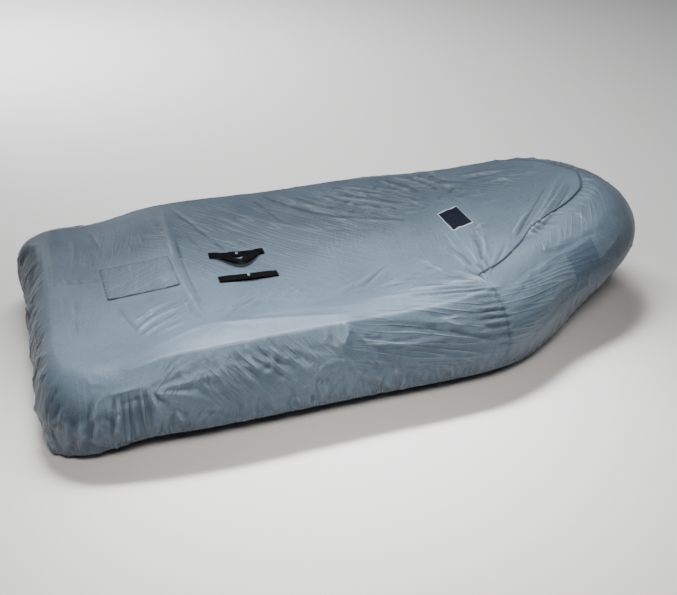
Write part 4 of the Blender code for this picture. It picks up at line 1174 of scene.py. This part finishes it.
# webbing handles
handle = {
    "width": 0.050, "thick": 0.0022, "gap": 0.0006, "joint": 0.53, "overlap": 0.12,
    "stepBefore": 0.07, "stepLength": 0.05, "steps": 40, "bedding": 7,
    # ends, how far the grip swings aside and rises, and how far it turns on edge in degrees
    "port": ((0.592, 0.002), (0.820, -0.010), -0.098, 0.012, 12),
    "starboard": ((0.588, -0.226), (0.822, -0.234), -0.008, 0.004, 0),
    # shares of the width and of the thickness round the strap
    "section": ((-0.5, 0.5), (-0.485, 0.92), (-0.40, 1.0), (-0.2, 1.06), (0.0, 1.08), (0.2, 1.06),
                (0.40, 1.0), (0.485, 0.92), (0.5, 0.5), (0.485, 0.05), (0.3, 0.0), (0.0, 0.0),
                (-0.3, 0.0), (-0.485, 0.05)),
    "sewnColumns": ((2, 9), (71, 78)), "sewnRows": (2, 6), "stitchSteps": 12,
}


# a strap along a centre line in plan with a rise off the cloth: slightly crowned, edges rounded
def makeStrap(name, line, nodes):
    width, thick = handle["width"], handle["thick"]
    line = np.array(line)
    along = unit(np.gradient(line[:, :2], axis=0))
    across = np.stack([-along[:, 1], along[:, 0]], axis=1)
    run = lengthsAlong(line)
    cosine, sine = np.cos(line[:, 3]), np.sin(line[:, 3])
    even = np.ones(handle["bedding"]) / handle["bedding"]
    grid, uvs = [], []
    for side, level in handle["section"]:
        aside = side * width * cosine + level * thick * sine
        plan = line[:, :2] + across * aside[:, None] - origin[:2]
        cloth = clothHeights(plan)
        bed = np.convolve(np.pad(cloth, handle["bedding"] // 2, mode="edge"), even, mode="valid")
        height = line[:, 2] + level * thick * cosine - side * width * sine
        grid.append(np.column_stack([plan, np.maximum(bed, cloth) + height]))
        uvs.append(np.column_stack([run, np.full(len(run), side * width)]))
    grid = np.array(grid)
    cells = np.arange(grid.shape[0] * grid.shape[1]).reshape(grid.shape[:2])
    quads = quadsOver(np.vstack([cells, cells[:1]])).reshape(-1, 4)[:, [0, 3, 2, 1]]
    faces = quads.tolist() + [cells[:, 0].tolist(), cells[::-1, -1].tolist()]
    strap = makeMesh(name, grid.reshape(-1, 3), faces, blackWebbing, np.vstack(uvs))
    attach(strap, nodes)
    return grid


# two sewn ends under one grip, and a crossed box of stitches through each
def makeHandle(name):
    (x0, y0), (x1, y1), aside, rise, turned = handle[name]
    flat = handle["gap"]
    layer = handle["thick"] + flat
    joint = handle["joint"] - handle["overlap"]

    def hump(t):
        return math.sin(math.pi * t) ** 3

    def strap(part, node, start, stop, count, lift, swing=0.0):
        line = [(x0 + (x1 - x0) * t, y0 + (y1 - y0) * t + aside * swing * hump(t), lift(t),
                 math.radians(turned) * swing * hump(t)) for t in np.linspace(start, stop, count)]
        return makeStrap(f"webbing{part}{name.capitalize()}", line, [f"webbing_{name}_{node}"])

    def overFore(t):
        return flat + layer * float(np.clip((t - joint + handle["stepBefore"]) / handle["stepLength"], 0, 1))

    def overBoth(t):
        return flat + layer * (1 + min(1.0, 6 * t * (1 - t))) + rise * hump(t)

    strap("Fore", "fore", joint, 1.0, handle["steps"], lambda t: flat)
    strap("Aft", "aft", 0.0, handle["joint"], handle["steps"], overFore)
    grid = strap("Grip", "grip", 0.0, 1.0, 2 * handle["steps"], overBoth, 1.0)
    rows = []
    near, far = handle["sewnRows"]
    for start, stop in handle["sewnColumns"]:
        a, b, c, d = grid[near, start], grid[far, start], grid[far, stop], grid[near, stop]
        for ends in ((a, b), (b, c), (c, d), (d, a), (a, c), (b, d)):
            points = np.linspace(*ends, handle["stitchSteps"]) + (0, 0, stitch["onWebbing"])
            rows.append(sewnFlat(points))
    stitching(f"handleStitching{name.capitalize()}", rows, blackWebbing)
    print(f"{name} handle: 3 straps, {len(rows)} rows of stitches")


for side in ("port", "starboard"):
    makeHandle(side)

# the small pale keepers stay as packed, with a moulded finish
for node in ("keeper_port", "keeper_starboard"):
    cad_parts[node].data.materials.clear()
    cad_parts[node].data.materials.append(paleNylon)

# what the cloth was cut to: width, length, flat area, what carries it and what is sewn on
cuts = {
    "mainPanel": ((2.05, 2.95), 4.60, (), (elasticHem, hemSeam, panelSeam)),
    "bowPanelStarboard": ((0.52, 1.30), 0.61, (), ()),
    "bowPanelPort": ((0.46, 0.92), 0.335, (), ()),
    "sternPatch": ((0.275, 0.275), 0.0745, ("mainPanel",), (patchSeam,)),
    "blankLabel": ((0.105, 0.195), 0.0200, ("mainPanel",), (labelSeam,)),
}
for piece in (*panels, sternPatch, blankLabel):
    flat, area, carrier, sewn = cuts[piece.name]
    list(sewn)
    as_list(carrier)
    print("sheet", piece.name, "cut to", area, "square metres")

# stage
stageSettings = {
    "floorHeight": -0.368, "floorHalf": 14.0, "floorColour": "#f2f2f1", "floorRoughness": 0.9,
    "world": "#f3f4f5", "worldStrength": 0.05,
    "camera": (-1.0834, -3.1441, 1.5847), "target": (0.324, 1.141, -0.950), "roll": -0.78, "lens": 45.37,
    "sensor": 36.0,
}
# place, aim, size, power, colour and spread in degrees; the strip is gridded and picks out the
# top of the near tube
lights = {
    "strip": ((-0.20, 0.0, 1.9), (-0.20, -0.70, 0.0), (2.2, 0.25), 20, "#ffffff", 58),
    "overhead": ((0.0, 0.9, 4.0), (0.1, 0.3, 0.0), (2.6, 1.2), 145, "#ffffff", 180),
    "fill": ((-0.95, -3.0, 2.3), (-0.30, -0.75, -0.05), (1.2, 0.6), 20, "#fff8f2", 75),
    "backdrop": ((-3.0, 6.0, 3.6), (1.0, 9.0, -0.37), (6.0, 3.0), 900, "#ffffff", 180),
}


def aimed(name, data, place, target, roll=0.0):
    made = bpy.data.objects.new(name, data)
    made.location = place
    made.rotation_mode = "QUATERNION"
    made.rotation_quaternion = ((Vector(target) - Vector(place)).to_track_quat("-Z", "Y")
                                @ Quaternion((0, 0, 1), math.radians(roll)))
    bpy.context.scene.collection.objects.link(made)
    return made


def areaLight(name, place, aim, size, power, colour, spread):
    light = bpy.data.lights.new(name, "AREA")
    light.shape = "RECTANGLE"
    light.size, light.size_y = size
    light.energy = power
    light.color = toLinear(colour)[:3]
    light.spread = math.radians(spread)
    aimed(name, light, place, aim).visible_camera = False


def makeStage():
    floorMaterial, _, _ = newMaterial("pale studio floor", {"Base Color": stageSettings["floorColour"],
                                                            "Roughness": stageSettings["floorRoughness"]})
    half, low = stageSettings["floorHalf"], stageSettings["floorHeight"]
    corners = [(x * half, y * half, low) for x, y in ((-1, -1), (1, -1), (1, 1), (-1, 1))]
    makeMesh("studioFloor", corners, [(0, 1, 2, 3)], floorMaterial)
    world = bpy.data.worlds.new("studioWorld")
    world.use_nodes = True
    background = world.node_tree.nodes["Background"]
    background.inputs["Color"].default_value = toLinear(stageSettings["world"])
    background.inputs["Strength"].default_value = stageSettings["worldStrength"]
    bpy.context.scene.world = world
    for name, settings in lights.items():
        areaLight(name, *settings)


def makeCamera():
    data = bpy.data.cameras.new("camera")
    data.sensor_width = stageSettings["sensor"]
    data.lens = stageSettings["lens"]
    data.dof.use_dof = False
    bpy.context.scene.camera = aimed("camera", data, stageSettings["camera"], stageSettings["target"],
                                     stageSettings["roll"])


makeStage()
makeCamera()
print("stage:", len(lights), "lights")
